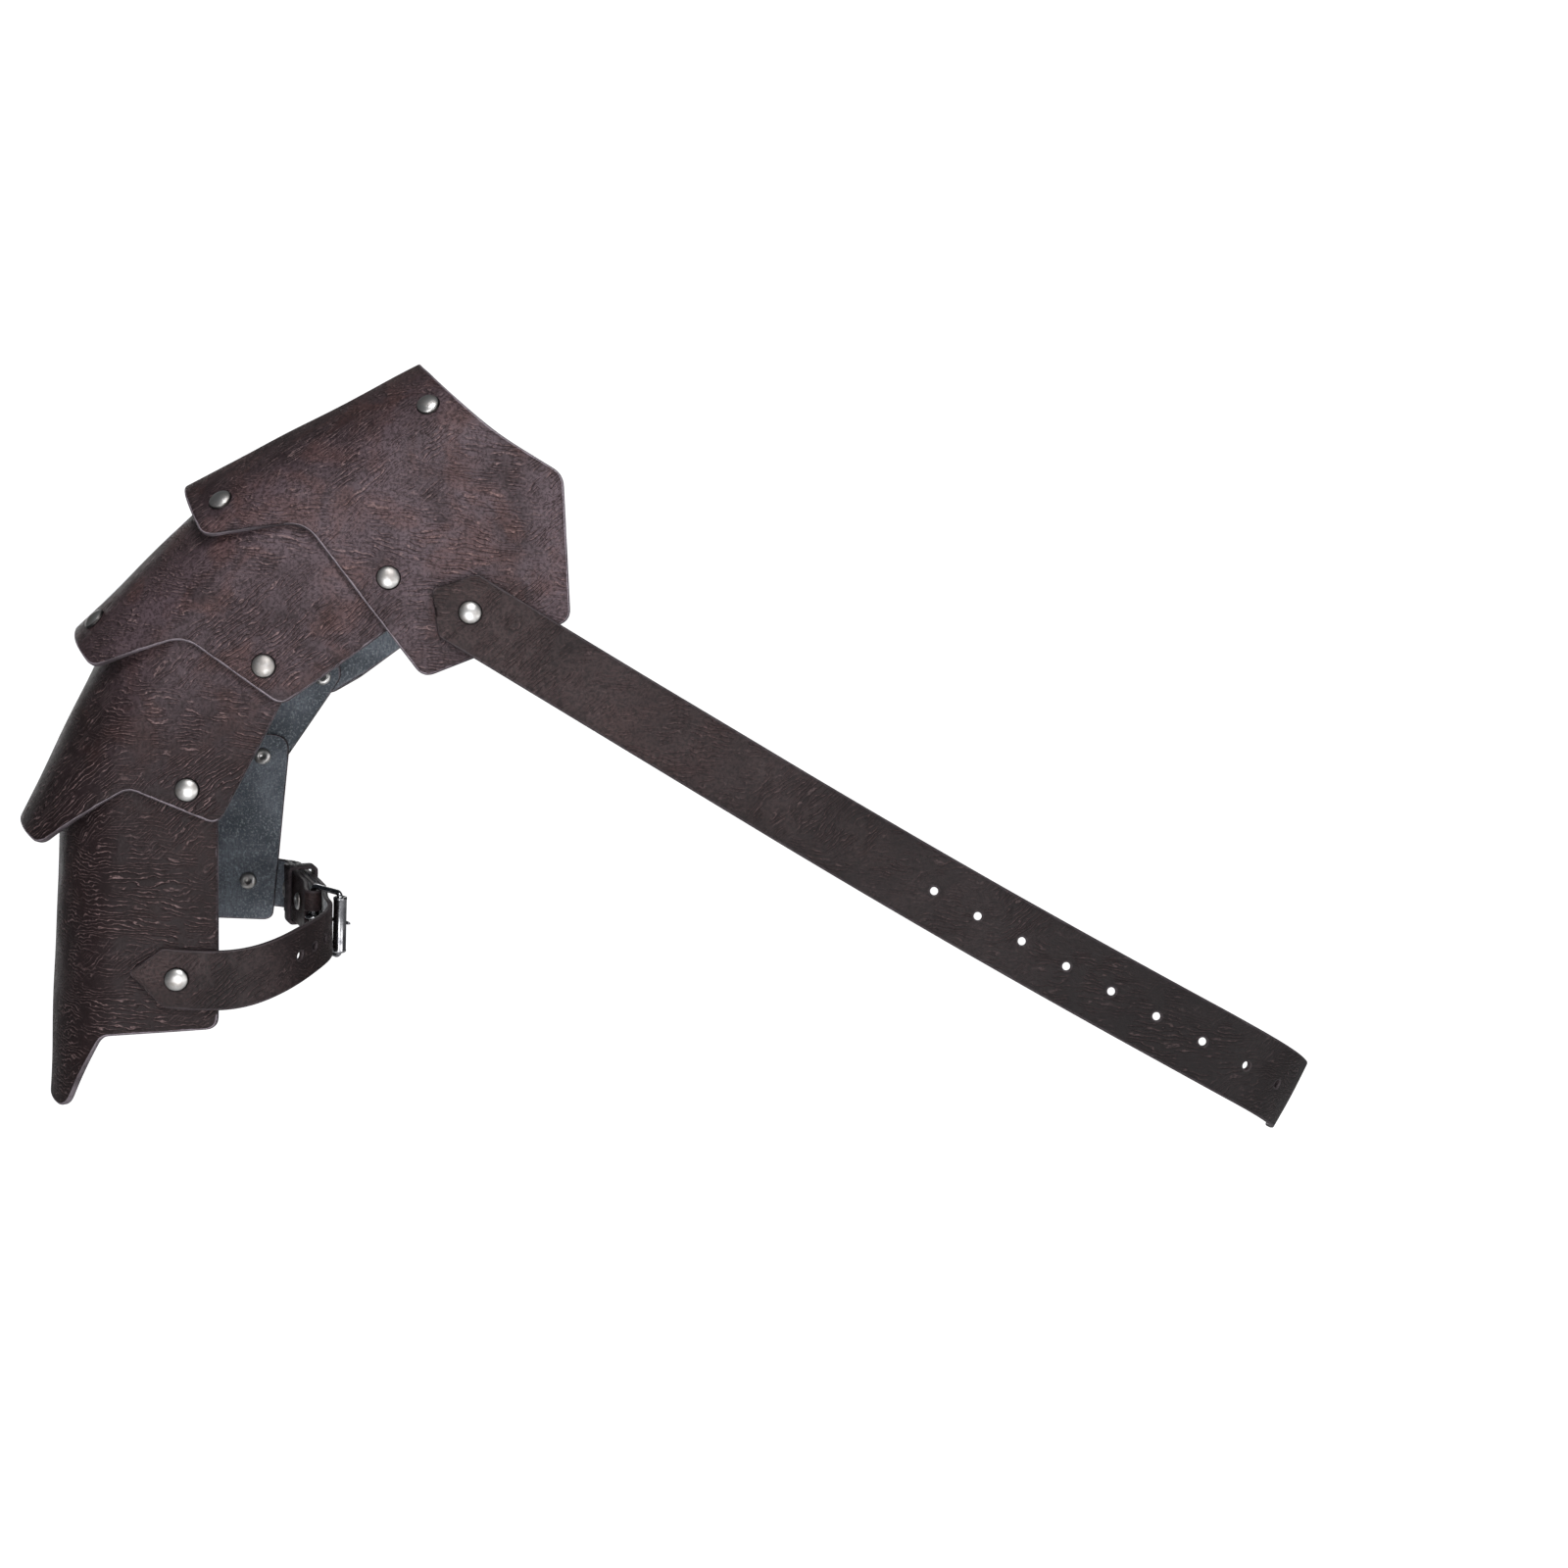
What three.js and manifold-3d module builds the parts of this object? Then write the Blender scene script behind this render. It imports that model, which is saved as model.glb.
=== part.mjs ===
import * as THREE from 'three';
import Module from 'manifold-3d';

// Leather shoulder guard: four overlapping lames, a chest strap and an arm strap with a roller buckle.
// Millimetres. +X towards the neck, +Y to the wearer's back, +Z up. Origin under the top lame's ridge.

const GAP = 0.35;
const LAME_WALL = 2.5;
const LEAST_EDGE = 1;
const CHEST_WALL = 2.5;
const ARM_WALL = 2.3;
const PLY_WALL = 2.2;

// The back half of the guard hangs higher: below LEAN_LEVEL its heights shrink by this factor.
const LEAN_LEVEL = -111.5;
const LEAN_SCALE = 0.78;
const LEAN_REACH = 50;

// Each lame is bent about a straight ridge. foot is the ridge's lower end (x, z), slope its rise in degrees.
// depth and halfWidth are the quarter ellipse over the ridge, and beyond it the lobes hang flat.
// outline is the front half of the flat pattern: along the ridge, round the bend, and the corner's rounding.
// backOutline is the back half, cut a little shorter at the lobe.
const TOP_LAME = {
  name: 'top_lame',
  slope: 29,
  foot: [-46.3, -28],
  depth: 49,
  halfWidth: 75,
  outline: [
    [0, 0, 0], [3, 85, 5], [42, 100, 8], [52.6, 179.6, 5], [118.8, 187.8, 5],
    [146.4, 132.4, 5], [128.2, 101, 14], [119.8, 72, 14], [117.3, 45, 10], [116.8, 0, 0],
  ],
  backOutline: [
    [0, 0, 0], [3, 85, 5], [42, 100, 8], [53, 166, 5], [121, 172, 5],
    [143, 131, 5], [128.2, 101, 14], [119.8, 72, 14], [117.3, 45, 10], [116.8, 0, 0],
  ],
};
const SECOND_LAME = {
  name: 'second_lame',
  slope: 45.1,
  foot: [-93.2, -90.6],
  depth: 45,
  halfWidth: 71.9,
  outline: [
    [0, 0, 0], [-0.6, 77.4, 5], [35, 95.9, 7], [42, 143.6, 5], [105.5, 153.5, 6],
    [127, 140, 8], [120, 118, 8], [103, 98, 12], [84, 50, 10], [80, 0, 0],
  ],
  backOutline: [
    [0, 0, 0], [-0.6, 77.4, 5], [35, 95.9, 7], [42.5, 137, 5], [105, 146, 6],
    [124, 140, 8], [120, 118, 8], [103, 98, 12], [84, 50, 10], [80, 0, 0],
  ],
};
const THIRD_LAME = {
  name: 'third_lame',
  slope: 64.4,
  foot: [-117.9, -173],
  depth: 43,
  halfWidth: 68.8,
  outline: [
    [0, 0, 0], [-2.3, 70.3, 5], [34.9, 95, 4], [36.3, 134, 5], [116, 136.4, 10],
    [120, 112, 9], [100, 70, 12], [90, 0, 0],
  ],
  backOutline: [
    [0, 0, 0], [-2.3, 70.3, 5], [34.9, 95, 4], [37, 129, 5], [115, 132, 10],
    [119, 110, 9], [100, 70, 12], [90, 0, 0],
  ],
};
const ARM_LAME = {
  name: 'arm_lame',
  slope: 87.1,
  foot: [-108.7, -289.4],
  depth: 41,
  halfWidth: 65.7,
  outline: [
    [-4, 0, 0], [-9, 60.5, 7], [24, 79, 4], [28.5, 126.5, 5], [144, 122.3, 13],
    [142, 98, 12], [134, 60, 10], [126, 0, 0],
  ],
  backOutline: [
    [-4, 0, 0], [-9, 60.5, 7], [24, 79, 4], [23, 123, 5], [146, 127, 13],
    [142, 98, 12], [134, 60, 10], [126, 0, 0],
  ],
};
const LAMES = [TOP_LAME, SECOND_LAME, THIRD_LAME, ARM_LAME];
const LEG_SHARE = 2.1;
const EDGE_SEARCH = 0.05;
const BEND_STEP = 8;
const FLAT_STEP = 26;
const BEND_TABLE = 400;
const CORNER_POINTS = 4;
const MARK_GAP = 0.5;

// Rivets: cap, shank and back ring.
const CAP_RADIUS = 5.1;
const CAP_HEIGHT = 2.6;
const LOW_CAP_HEIGHT = 1.5;
const SHANK_RADIUS = 1.7;
const RING_RADIUS = 4.2;
const RING_HEIGHT = 1.2;
const RIVET_GAP = 0.3;
const RIVET_HOLE = 2.1;
const RIVET_BORE = 20;
const EDGE_RIVET_PLAY = 0.3;
const ROUND = 12;
// The back ring from its foot upwards (distance out, height), and the cap as shares of its radius and height.
const RING_PROFILE = [
  [0, 0.8], [1.4, 0.8], [1.8, 0], [3.5, 0], [RING_RADIUS, 0.5], [RING_RADIUS, RING_HEIGHT],
  [SHANK_RADIUS, RING_HEIGHT],
];
const CAP_PROFILE = [[1, 0], [1, 0.15], [0.9, 0.5], [0.65, 0.82], [0.33, 0.96], [0, 1]];

// Lobe rivets join each lame to the next one at front and back (x at the front and at the back, z).
const LOBE_RIVETS = [
  { name: 'lobe_rivet_1', x: 49.1, backX: 49.1, z: -74.4, outer: TOP_LAME, inner: SECOND_LAME },
  { name: 'lobe_rivet_2', x: -2.5, backX: -2.5, z: -111.5, outer: SECOND_LAME, inner: THIRD_LAME },
  { name: 'lobe_rivet_3', x: -34.8, backX: -32, z: -163.3, outer: THIRD_LAME, inner: ARM_LAME },
];
// Single rivets near the edges, placed on the flat pattern (along the ridge, round the bend).
const EDGE_RIVETS = [
  { name: 'neck_rivet', lame: TOP_LAME, along: 110.9, around: 78.8 },
  { name: 'tongue_rivet_1', lame: TOP_LAME, along: 15.8, around: 71.4 },
  { name: 'tongue_rivet_2', lame: SECOND_LAME, along: 11.6, around: 51.8 },
];

// Chest strap: lies flat on the top lame's front lobe and swings forward; its free end curls back and droops.
const CHEST_WIDTH = 31.4;
const CHEST_ROOT = [82.8, -88.8];
const CHEST_FALL = 31.5;
const CHEST_EASE = 2.4;
const CHEST_EASE_FROM = 150;
const CHEST_EASE_TO = 330;
const CHEST_START = -18;
const CHEST_SHOULDER = -5.8;
const CHEST_SWING_FROM = 25;
const CHEST_SWING_TO = 90;
const CHEST_SWING = 14;
const CHEST_CURL_FROM = 352;
const CHEST_CURL_RADIUS = 50;
const CHEST_DROOP = 4.6;
const CHEST_DROOP_FROM = 372;
const CHEST_END_SHOULDER = 430;
const CHEST_END = 446;
const CHEST_HOLES = 10;
const CHEST_FIRST_HOLE = 228;
const CHEST_PITCH = 20.6;
const CHEST_PIECES = 200;
const CHEST_STEPS = { root: 16, swing: 13, run: 33, curl: 6.5, tip: 5 };
const STRAP_HOLE = 1.65;
const HOLE_DEPTH = 8;
const HOLE_ROUND = 10;
const TIP_HALF = 0.8;
const LEAST_STEP = 0.2;

// Arm strap and buckle strap follow one loop seen from above: [length, turn in degrees] per piece.
const ARM_WIDTH = 24.5;
const ARM_WIDEST = 1.03;
const ARM_NARROWING = 0.09;
const ARM_NARROW_FROM = 30;
const ARM_NARROW_TO = 105;
const LOOP_START = [-60, -67.2];
const LOOP = [[36, 0], [32.6, 55], [32.7, 33], [14.6, 25.5], [76.8, 0], [9.3, 66.5], [38.5, 0]];
const LOOP_ENDS = LOOP.map((_, i) => LOOP.slice(0, i + 1).reduce((sum, [length]) => sum + length, 0));
const LOOP_FRONT_RIVET = 19.6;
const LOOP_LEVEL = -230;
const LOOP_LEVEL_AT = 108;
const LOOP_RISE = 0.12;
const LOOP_DIP = 6;
const LOOP_DIP_AT = 45;
const LOOP_DIP_REACH = 28;
const LOOP_RAISE = 2;
const LOOP_RAISE_FROM = 95;
const LOOP_RAISE_TO = 165;
const LOOP_TIP = 3.8;
const LOOP_TIP_REACH = 25;
const ARM_START = 0.8;
const ARM_SHOULDER = 14.1;
const ARM_END_SHOULDER = 200;
const ARM_END = 209;
const ARM_LIFT = 4.5;
const ARM_LIFT_FROM = 115;
const ARM_LIFT_TO = 142;
const ARM_HOLES = [72, 82.4, 92.4, 102.4, 146];
const ARM_STEPS = { root: 11, bend: 4.7, sweep: 6, hook: 3.4, run: 17, tip: 2 };
const PLY_STEPS = { run: 12, bend: 1.9, inner: 5 };
const SLOPE_STEP = 0.5;
const PLY_END = 237;
const PLY_BACK_RIVET = 215.3;
const PLY_INNER_END = 190;
const STRAIGHT_END = 186;
const FOLD_RIVETS = [158, 183];
const KEEPER_AT = 173;
const KEEPER_WIDTH = 8;
const KEEPER_WALL = 1.8;
const KEEPER_CORNER = 0.4;
const KEEPER_SEGMENTS = 3;

// Roller buckle, in the loop's own directions: along the strap, outwards, across.
const ROLLER_AT = 114;
const BAR_AT = 132;
const BUCKLE_DROP = 0.7;
const BAR_RADIUS = 1.6;
const AXLE_RADIUS = 1.3;
const ROLLER_RADIUS = 3.1;
const ROLLER_BORE = 1.65;
const ROLLER_GAP = 0.55;
const ROLLER_LENGTH = 26.6;
const FRAME_INSIDE = 13.6;
const FRAME_WALL = 2.4;
const FRAME_BAND = 2.1;
const PRONG_WIDTH = 2.4;
const PRONG_THICK = 1.6;
const PRONG_PAST = 1.4;
const EYE_GAP = 0.3;
const EYE_WALL = 1.7;
const PRONG_ROOT = [1, 0.8];
const PRONG_BACK = -0.5;
const PRONG_BEND = 1;
const SLOT_WIDTH = 5;
const SLOT_ALONG = [-8, 9];
const SLOT_OUT = [-8, 5];
const BAR_OVERLAP = 1;
const PASSAGE_FROM = 2;
const PASSAGE_SHORT = 4;
const PASSAGE_PLAY = 0.5;
const ROLLER_ROUND = 16;
const CURVE_SEGMENTS = 8;

const wasm = await Module();
wasm.setup();

const radians = THREE.MathUtils.degToRad;
const smooth = (value, low, high) => THREE.MathUtils.smoothstep(value, low, high);

// Points closer than a micrometre become one, and triangles without area are left out.
function welded(positions, indices) {
  const seen = new Map();
  const points = [];
  const map = [];
  for (let i = 0; i < positions.length / 3; i += 1) {
    const p = [positions[3 * i], positions[3 * i + 1], positions[3 * i + 2]];
    const key = p.map((v) => Math.round(v * 1000)).join(',');
    if (!seen.has(key)) {
      seen.set(key, points.length / 3);
      points.push(...p);
    }
    map.push(seen.get(key));
  }
  const triangles = [];
  for (let i = 0; i < indices.length; i += 3) {
    const [a, b, c] = [map[indices[i]], map[indices[i + 1]], map[indices[i + 2]]];
    if (a !== b && b !== c && c !== a) {
      triangles.push(a, b, c);
    }
  }
  return { points, triangles };
}

function toManifold(geometry) {
  const positions = Array.from(geometry.attributes.position.array);
  const corners = Array.from({ length: positions.length / 3 }, (_, i) => i);
  const indices = geometry.index ? Array.from(geometry.index.array) : corners;
  const { points, triangles } = welded(positions, indices);
  return new wasm.Manifold(new wasm.Mesh({
    numProp: 3,
    vertProperties: new Float32Array(points),
    triVerts: new Uint32Array(triangles),
  }));
}

function fromManifold(solid) {
  const mesh = solid.getMesh();
  const geometry = new THREE.BufferGeometry();
  geometry.setAttribute('position', new THREE.BufferAttribute(new Float32Array(mesh.vertProperties), 3));
  geometry.setIndex(Array.from(mesh.triVerts));
  return geometry;
}

// A bent sheet from a row of stations, each with four corners: outer low, outer high, inner high, inner low.
function sheetGeometry(stations) {
  const points = stations.flat().flatMap((p) => [p.x, p.y, p.z]);
  const indices = [];
  for (let i = 0; i + 1 < stations.length; i += 1) {
    for (let k = 0; k < 4; k += 1) {
      const a = 4 * i + k;
      const b = 4 * i + ((k + 1) % 4);
      indices.push(a, b, b + 4, a, b + 4, a + 4);
    }
  }
  const last = 4 * (stations.length - 1);
  indices.push(0, 2, 1, 0, 3, 2, last, last + 1, last + 2, last, last + 2, last + 3);
  const geometry = new THREE.BufferGeometry();
  geometry.setAttribute('position', new THREE.BufferAttribute(new Float32Array(points), 3));
  geometry.setIndex(indices);
  return geometry;
}

function sheetSolid(stations) {
  const solid = toManifold(sheetGeometry(stations));
  if (solid.volume() > 0) {
    return solid;
  }
  return toManifold(sheetGeometry(stations.map(([a, b, c, d]) => [b, a, d, c])));
}

// A rod along an axis, used for holes and bars.
function rod(centre, axis, radius, length, segments = ROUND) {
  const geometry = new THREE.CylinderGeometry(radius, radius, length, segments);
  geometry.applyQuaternion(new THREE.Quaternion().setFromUnitVectors(new THREE.Vector3(0, 1, 0), axis));
  geometry.translate(centre.x, centre.y, centre.z);
  return toManifold(geometry);
}

// ---- lames ----

function roundedHalf(outline) {
  const path = new THREE.Path();
  path.moveTo(outline[0][1], outline[0][0]);
  for (let i = 1; i + 1 < outline.length; i += 1) {
    const corner = new THREE.Vector2(outline[i][1], outline[i][0]);
    const before = new THREE.Vector2(outline[i - 1][1], outline[i - 1][0]).sub(corner);
    const after = new THREE.Vector2(outline[i + 1][1], outline[i + 1][0]).sub(corner);
    const entry = corner.clone().add(before.setLength(Math.min(outline[i][2], before.length() / LEG_SHARE)));
    const exit = corner.clone().add(after.setLength(Math.min(outline[i][2], after.length() / LEG_SHARE)));
    path.lineTo(entry.x, entry.y);
    path.quadraticCurveTo(corner.x, corner.y, exit.x, exit.y);
  }
  const end = outline[outline.length - 1];
  path.lineTo(end[1], end[0]);
  return path.getPoints(CORNER_POINTS);
}

function chainAt(chain, around) {
  for (let i = 0; i + 1 < chain.length; i += 1) {
    const [a, b] = [chain[i], chain[i + 1]];
    if (around <= b.x) {
      const part = b.x - a.x < 1e-9 ? 1 : (around - a.x) / (b.x - a.x);
      return a.y + (b.y - a.y) * Math.max(0, part);
    }
  }
  return chain[chain.length - 1].y;
}

function edgeChains(outline) {
  const half = roundedHalf(outline);
  let far = 0;
  half.forEach((p, i) => {
    far = p.x > half[far].x ? i : far;
  });
  const low = half.slice(0, far + 1);
  const high = half.slice(far).reverse();
  let last = half[far].x;
  while (chainAt(high, last) - chainAt(low, last) < LEAST_EDGE) {
    last -= EDGE_SEARCH;
  }
  return { low, high, last };
}

function prepareLame(lame) {
  const lengths = [0];
  for (let i = 1; i <= BEND_TABLE; i += 1) {
    const [a, b] = [(i - 1) / BEND_TABLE, i / BEND_TABLE].map((part) => part * Math.PI / 2);
    const dx = lame.depth * (Math.cos(a) - Math.cos(b));
    const dy = lame.halfWidth * (Math.sin(b) - Math.sin(a));
    lengths.push(lengths[i - 1] + Math.hypot(dx, dy));
  }
  return { ...lame, lengths, front: edgeChains(lame.outline), back: edgeChains(lame.backOutline) };
}

// The section at a distance round the bend: depth below the ridge, distance from it, and outward angle.
function section(lame, around) {
  const side = around < 0 ? -1 : 1;
  const distance = Math.abs(around);
  const quarter = lame.lengths[lame.lengths.length - 1];
  if (distance >= quarter) {
    return { down: lame.depth + distance - quarter, out: side * lame.halfWidth, cos: 0, sin: side };
  }
  let i = 1;
  while (lame.lengths[i] < distance) {
    i += 1;
  }
  const part = (distance - lame.lengths[i - 1]) / (lame.lengths[i] - lame.lengths[i - 1]);
  const turn = (i - 1 + part) / (lame.lengths.length - 1) * Math.PI / 2;
  const normal = new THREE.Vector2(lame.halfWidth * Math.cos(turn), lame.depth * Math.sin(turn)).normalize();
  return {
    down: lame.depth * (1 - Math.cos(turn)),
    out: side * lame.halfWidth * Math.sin(turn),
    cos: normal.x,
    sin: side * normal.y,
  };
}

function lean(point) {
  if (point.y > 0 && point.z < LEAN_LEVEL) {
    const share = 1 - (1 - LEAN_SCALE) * smooth(point.y, 0, LEAN_REACH);
    point.z = LEAN_LEVEL + (point.z - LEAN_LEVEL) * share;
  }
  return point;
}

function lamePoint(lame, along, around, inset) {
  const { down, out, cos, sin } = section(lame, around);
  const slope = radians(lame.slope);
  const below = down + inset * cos;
  const x = lame.foot[0] + along * Math.cos(slope) + below * Math.sin(slope);
  const z = lame.foot[1] + along * Math.sin(slope) - below * Math.cos(slope);
  return lean(new THREE.Vector3(x, out - inset * sin, z));
}

// The low and high ends of the ruling that crosses the sheet at a distance round the bend.
function ruling(lame, around, inset) {
  const { low, high } = around < 0 ? lame.front : lame.back;
  const [from, to] = [chainAt(low, Math.abs(around)), chainAt(high, Math.abs(around))];
  return { from, to, low: lamePoint(lame, from, around, inset), high: lamePoint(lame, to, around, inset) };
}

function halfMarks(lame, { low, high, last }) {
  const marks = [...low.map((p) => p.x), ...high.map((p) => p.x)];
  const quarter = lame.lengths[lame.lengths.length - 1];
  for (let s = BEND_STEP; s < quarter; s += BEND_STEP) {
    marks.push(s);
  }
  for (let s = quarter; s < last; s += FLAT_STEP) {
    marks.push(s);
  }
  const kept = [0];
  marks.sort((a, b) => a - b).forEach((s) => {
    if (s - kept[kept.length - 1] > MARK_GAP && last - s > MARK_GAP) {
      kept.push(s);
    }
  });
  return [...kept, last];
}

function lameSolid(lame) {
  const front = halfMarks(lame, lame.front).slice(1).reverse().map((s) => -s);
  return sheetSolid([...front, ...halfMarks(lame, lame.back)].map((s) => {
    const [outer, inner] = [ruling(lame, s, 0), ruling(lame, s, LAME_WALL)];
    return [outer.low, outer.high, inner.high, inner.low];
  }));
}

// A point on the lame's outer face with its outward direction.
function lameSpot(lame, along, around) {
  const at = (s) => {
    const { from, to, low, high } = ruling(lame, s, 0);
    return { low, high, point: low.clone().lerp(high, (along - from) / (to - from)) };
  };
  const here = at(around);
  const across = at(around + 1).point.sub(at(around - 1).point);
  const normal = here.high.clone().sub(here.low).cross(across).normalize();
  return { point: here.point, outward: normal.x < 0 ? normal : normal.negate() };
}

// ---- rivets ----

function rivetSolid(seat, outward, grip, capHeight) {
  const bottom = -grip - RIVET_GAP - RING_HEIGHT;
  const profile = [
    ...RING_PROFILE.map(([out, height]) => [out, bottom + height]),
    [SHANK_RADIUS, RIVET_GAP],
    ...CAP_PROFILE.map(([out, height]) => [out * CAP_RADIUS, RIVET_GAP + height * capHeight]),
  ];
  const geometry = new THREE.LatheGeometry(profile.map(([x, y]) => new THREE.Vector2(x, y)), ROUND);
  geometry.applyQuaternion(new THREE.Quaternion().setFromUnitVectors(new THREE.Vector3(0, 1, 0), outward));
  geometry.translate(seat.x, seat.y, seat.z);
  return toManifold(geometry);
}

function bored(solid, seat, outward) {
  return solid.subtract(rod(seat, outward, RIVET_HOLE, RIVET_BORE));
}

// ---- straps ----

// Stations carry a centre, the direction across the strap, the outward direction and the half width.
function strapStations(stations, wall) {
  return stations.map(({ centre, across, outward, half }) => {
    const up = across.clone().multiplyScalar(half);
    const out = outward.clone().multiplyScalar(wall / 2);
    return [
      centre.clone().add(out).sub(up), centre.clone().add(out).add(up),
      centre.clone().sub(out).add(up), centre.clone().sub(out).sub(up),
    ];
  });
}

function taperedHalf(at, start, shoulder, endShoulder, end, half) {
  const nose = THREE.MathUtils.clamp((at - start) / (shoulder - start), 0, 1);
  const tail = THREE.MathUtils.clamp((end - at) / (end - endShoulder), 0, 1);
  return TIP_HALF + (half - TIP_HALF) * Math.min(nose, tail);
}

function steps(from, to, step) {
  const count = Math.max(1, Math.round((to - from) / step));
  return Array.from({ length: count + 1 }, (_, i) => from + (to - from) * i / count);
}

function uniqueSorted(values) {
  return [...values].sort((a, b) => a - b).filter((v, i, all) => i === 0 || v - all[i - 1] > LEAST_STEP);
}

function chestTurn(at) {
  const swing = radians(CHEST_SWING) * THREE.MathUtils.clamp(
    (at - CHEST_SWING_FROM) / (CHEST_SWING_TO - CHEST_SWING_FROM), 0, 1);
  return swing - Math.max(0, (at - CHEST_CURL_FROM) / CHEST_CURL_RADIUS);
}

// How steeply the strap falls eases off a little along its length.
function chestAxes(at) {
  const eased = (at - CHEST_EASE_FROM) / (CHEST_EASE_TO - CHEST_EASE_FROM);
  const fall = radians(CHEST_FALL - CHEST_EASE * THREE.MathUtils.clamp(eased, 0, 1));
  const along = new THREE.Vector3(Math.cos(fall), 0, -Math.sin(fall));
  const forward = new THREE.Vector3(0, -1, 0);
  const turn = chestTurn(at);
  return {
    run: along.clone().multiplyScalar(Math.cos(turn)).addScaledVector(forward, Math.sin(turn)),
    outward: forward.clone().multiplyScalar(Math.cos(turn)).addScaledVector(along, -Math.sin(turn)),
    across: new THREE.Vector3(Math.sin(fall), 0, Math.cos(fall)),
  };
}

function chestFrame(at) {
  const seat = -(TOP_LAME.halfWidth + GAP + CHEST_WALL / 2);
  const centre = new THREE.Vector3(CHEST_ROOT[0], seat, CHEST_ROOT[1]);
  for (let i = 0; i < CHEST_PIECES; i += 1) {
    centre.addScaledVector(chestAxes(at * (i + 0.5) / CHEST_PIECES).run, at / CHEST_PIECES);
  }
  centre.z -= CHEST_DROOP * (Math.max(0, at - CHEST_DROOP_FROM) / (CHEST_END - CHEST_DROOP_FROM)) ** 2;
  return { centre, ...chestAxes(at) };
}

function chestStrap() {
  const marks = uniqueSorted([
    CHEST_START,
    ...steps(CHEST_SHOULDER, CHEST_SWING_FROM, CHEST_STEPS.root),
    ...steps(CHEST_SWING_FROM, CHEST_SWING_TO, CHEST_STEPS.swing),
    ...steps(CHEST_SWING_TO, CHEST_CURL_FROM, CHEST_STEPS.run),
    ...steps(CHEST_CURL_FROM, CHEST_END_SHOULDER, CHEST_STEPS.curl),
    ...steps(CHEST_END_SHOULDER, CHEST_END, CHEST_STEPS.tip),
  ]);
  let solid = sheetSolid(strapStations(marks.map((at) => ({
    ...chestFrame(at),
    half: taperedHalf(at, CHEST_START, CHEST_SHOULDER, CHEST_END_SHOULDER, CHEST_END, CHEST_WIDTH / 2),
  })), CHEST_WALL));
  for (let i = 0; i < CHEST_HOLES; i += 1) {
    const { centre, outward } = chestFrame(CHEST_FIRST_HOLE + i * CHEST_PITCH);
    solid = solid.subtract(rod(centre, outward, STRAP_HOLE, HOLE_DEPTH, HOLE_ROUND));
  }
  return solid;
}

function loopFrame(at, offset) {
  const point = new THREE.Vector2(...LOOP_START);
  let heading = 0;
  let left = at;
  LOOP.forEach(([length, turn]) => {
    const run = THREE.MathUtils.clamp(left, 0, length);
    const bend = radians(turn) * run / length;
    const chord = Math.abs(bend) < 1e-6 ? run : run * Math.sin(bend / 2) / (bend / 2);
    point.x += chord * Math.cos(heading + bend / 2);
    point.y += chord * Math.sin(heading + bend / 2);
    heading += bend;
    left -= length;
  });
  const outward = new THREE.Vector3(Math.sin(heading), -Math.cos(heading), 0);
  const dip = LOOP_DIP * Math.exp(-(((at - LOOP_DIP_AT) / LOOP_DIP_REACH) ** 2));
  const tip = LOOP_TIP * (Math.max(0, LOOP_TIP_REACH - at) / LOOP_TIP_REACH) ** 2;
  const raise = LOOP_RAISE * smooth(at, LOOP_RAISE_FROM, LOOP_RAISE_TO);
  const level = LOOP_LEVEL + LOOP_RISE * (at - LOOP_LEVEL_AT) - dip + tip + raise;
  const centre = new THREE.Vector3(point.x, point.y, level).addScaledVector(outward, offset);
  const along = new THREE.Vector3(Math.cos(heading), Math.sin(heading), LOOP_RISE).normalize();
  return { centre, outward, along, across: new THREE.Vector3(0, 0, 1), up: outward.clone().cross(along) };
}

function armLift(at) {
  return ARM_LIFT * smooth(at, ARM_LIFT_FROM, ARM_LIFT_TO);
}

function armFrame(at) {
  const here = loopFrame(at, armLift(at));
  const ahead = loopFrame(at + SLOPE_STEP, armLift(at + SLOPE_STEP)).centre;
  const run = ahead.sub(loopFrame(at - SLOPE_STEP, armLift(at - SLOPE_STEP)).centre);
  here.outward = new THREE.Vector3(run.y, -run.x, 0).normalize();
  return here;
}

const LOOP_HALF = ARM_WIDTH / 2 * Math.hypot(1, LOOP_RISE);

function armStrap() {
  const [bend, sweep, hook, , straight] = LOOP_ENDS;
  const marks = uniqueSorted([
    ARM_START,
    ...steps(ARM_SHOULDER, bend, ARM_STEPS.root),
    ...steps(bend, sweep, ARM_STEPS.bend),
    ...steps(sweep, hook, ARM_STEPS.sweep),
    ...steps(hook, ARM_LIFT_TO, ARM_STEPS.hook),
    ...steps(ARM_LIFT_TO, straight, ARM_STEPS.run),
    ...steps(straight, ARM_END_SHOULDER, ARM_STEPS.tip),
    ...steps(ARM_END_SHOULDER, ARM_END, ARM_STEPS.tip),
  ]);
  const half = (at) => LOOP_HALF * (ARM_WIDEST - ARM_NARROWING * smooth(at, ARM_NARROW_FROM, ARM_NARROW_TO));
  let solid = sheetSolid(strapStations(marks.map((at) => ({
    ...armFrame(at),
    half: taperedHalf(at, ARM_START, ARM_SHOULDER, ARM_END_SHOULDER, ARM_END, half(at)),
  })), ARM_WALL));
  ARM_HOLES.forEach((at) => {
    const { centre, outward } = armFrame(at);
    solid = solid.subtract(rod(centre, outward, STRAP_HOLE, HOLE_DEPTH, HOLE_ROUND));
  });
  return solid;
}

// The buckle strap runs from the back lobe to the bar, folds round it and comes back inside itself.
const PLY_RADIUS = PLY_WALL / 2 + GAP + BAR_RADIUS;
const PLY_CLOSED = PLY_WALL + GAP;
const PLY_CLOSING = 20;
const FOLD_STEPS = 10;

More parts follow.
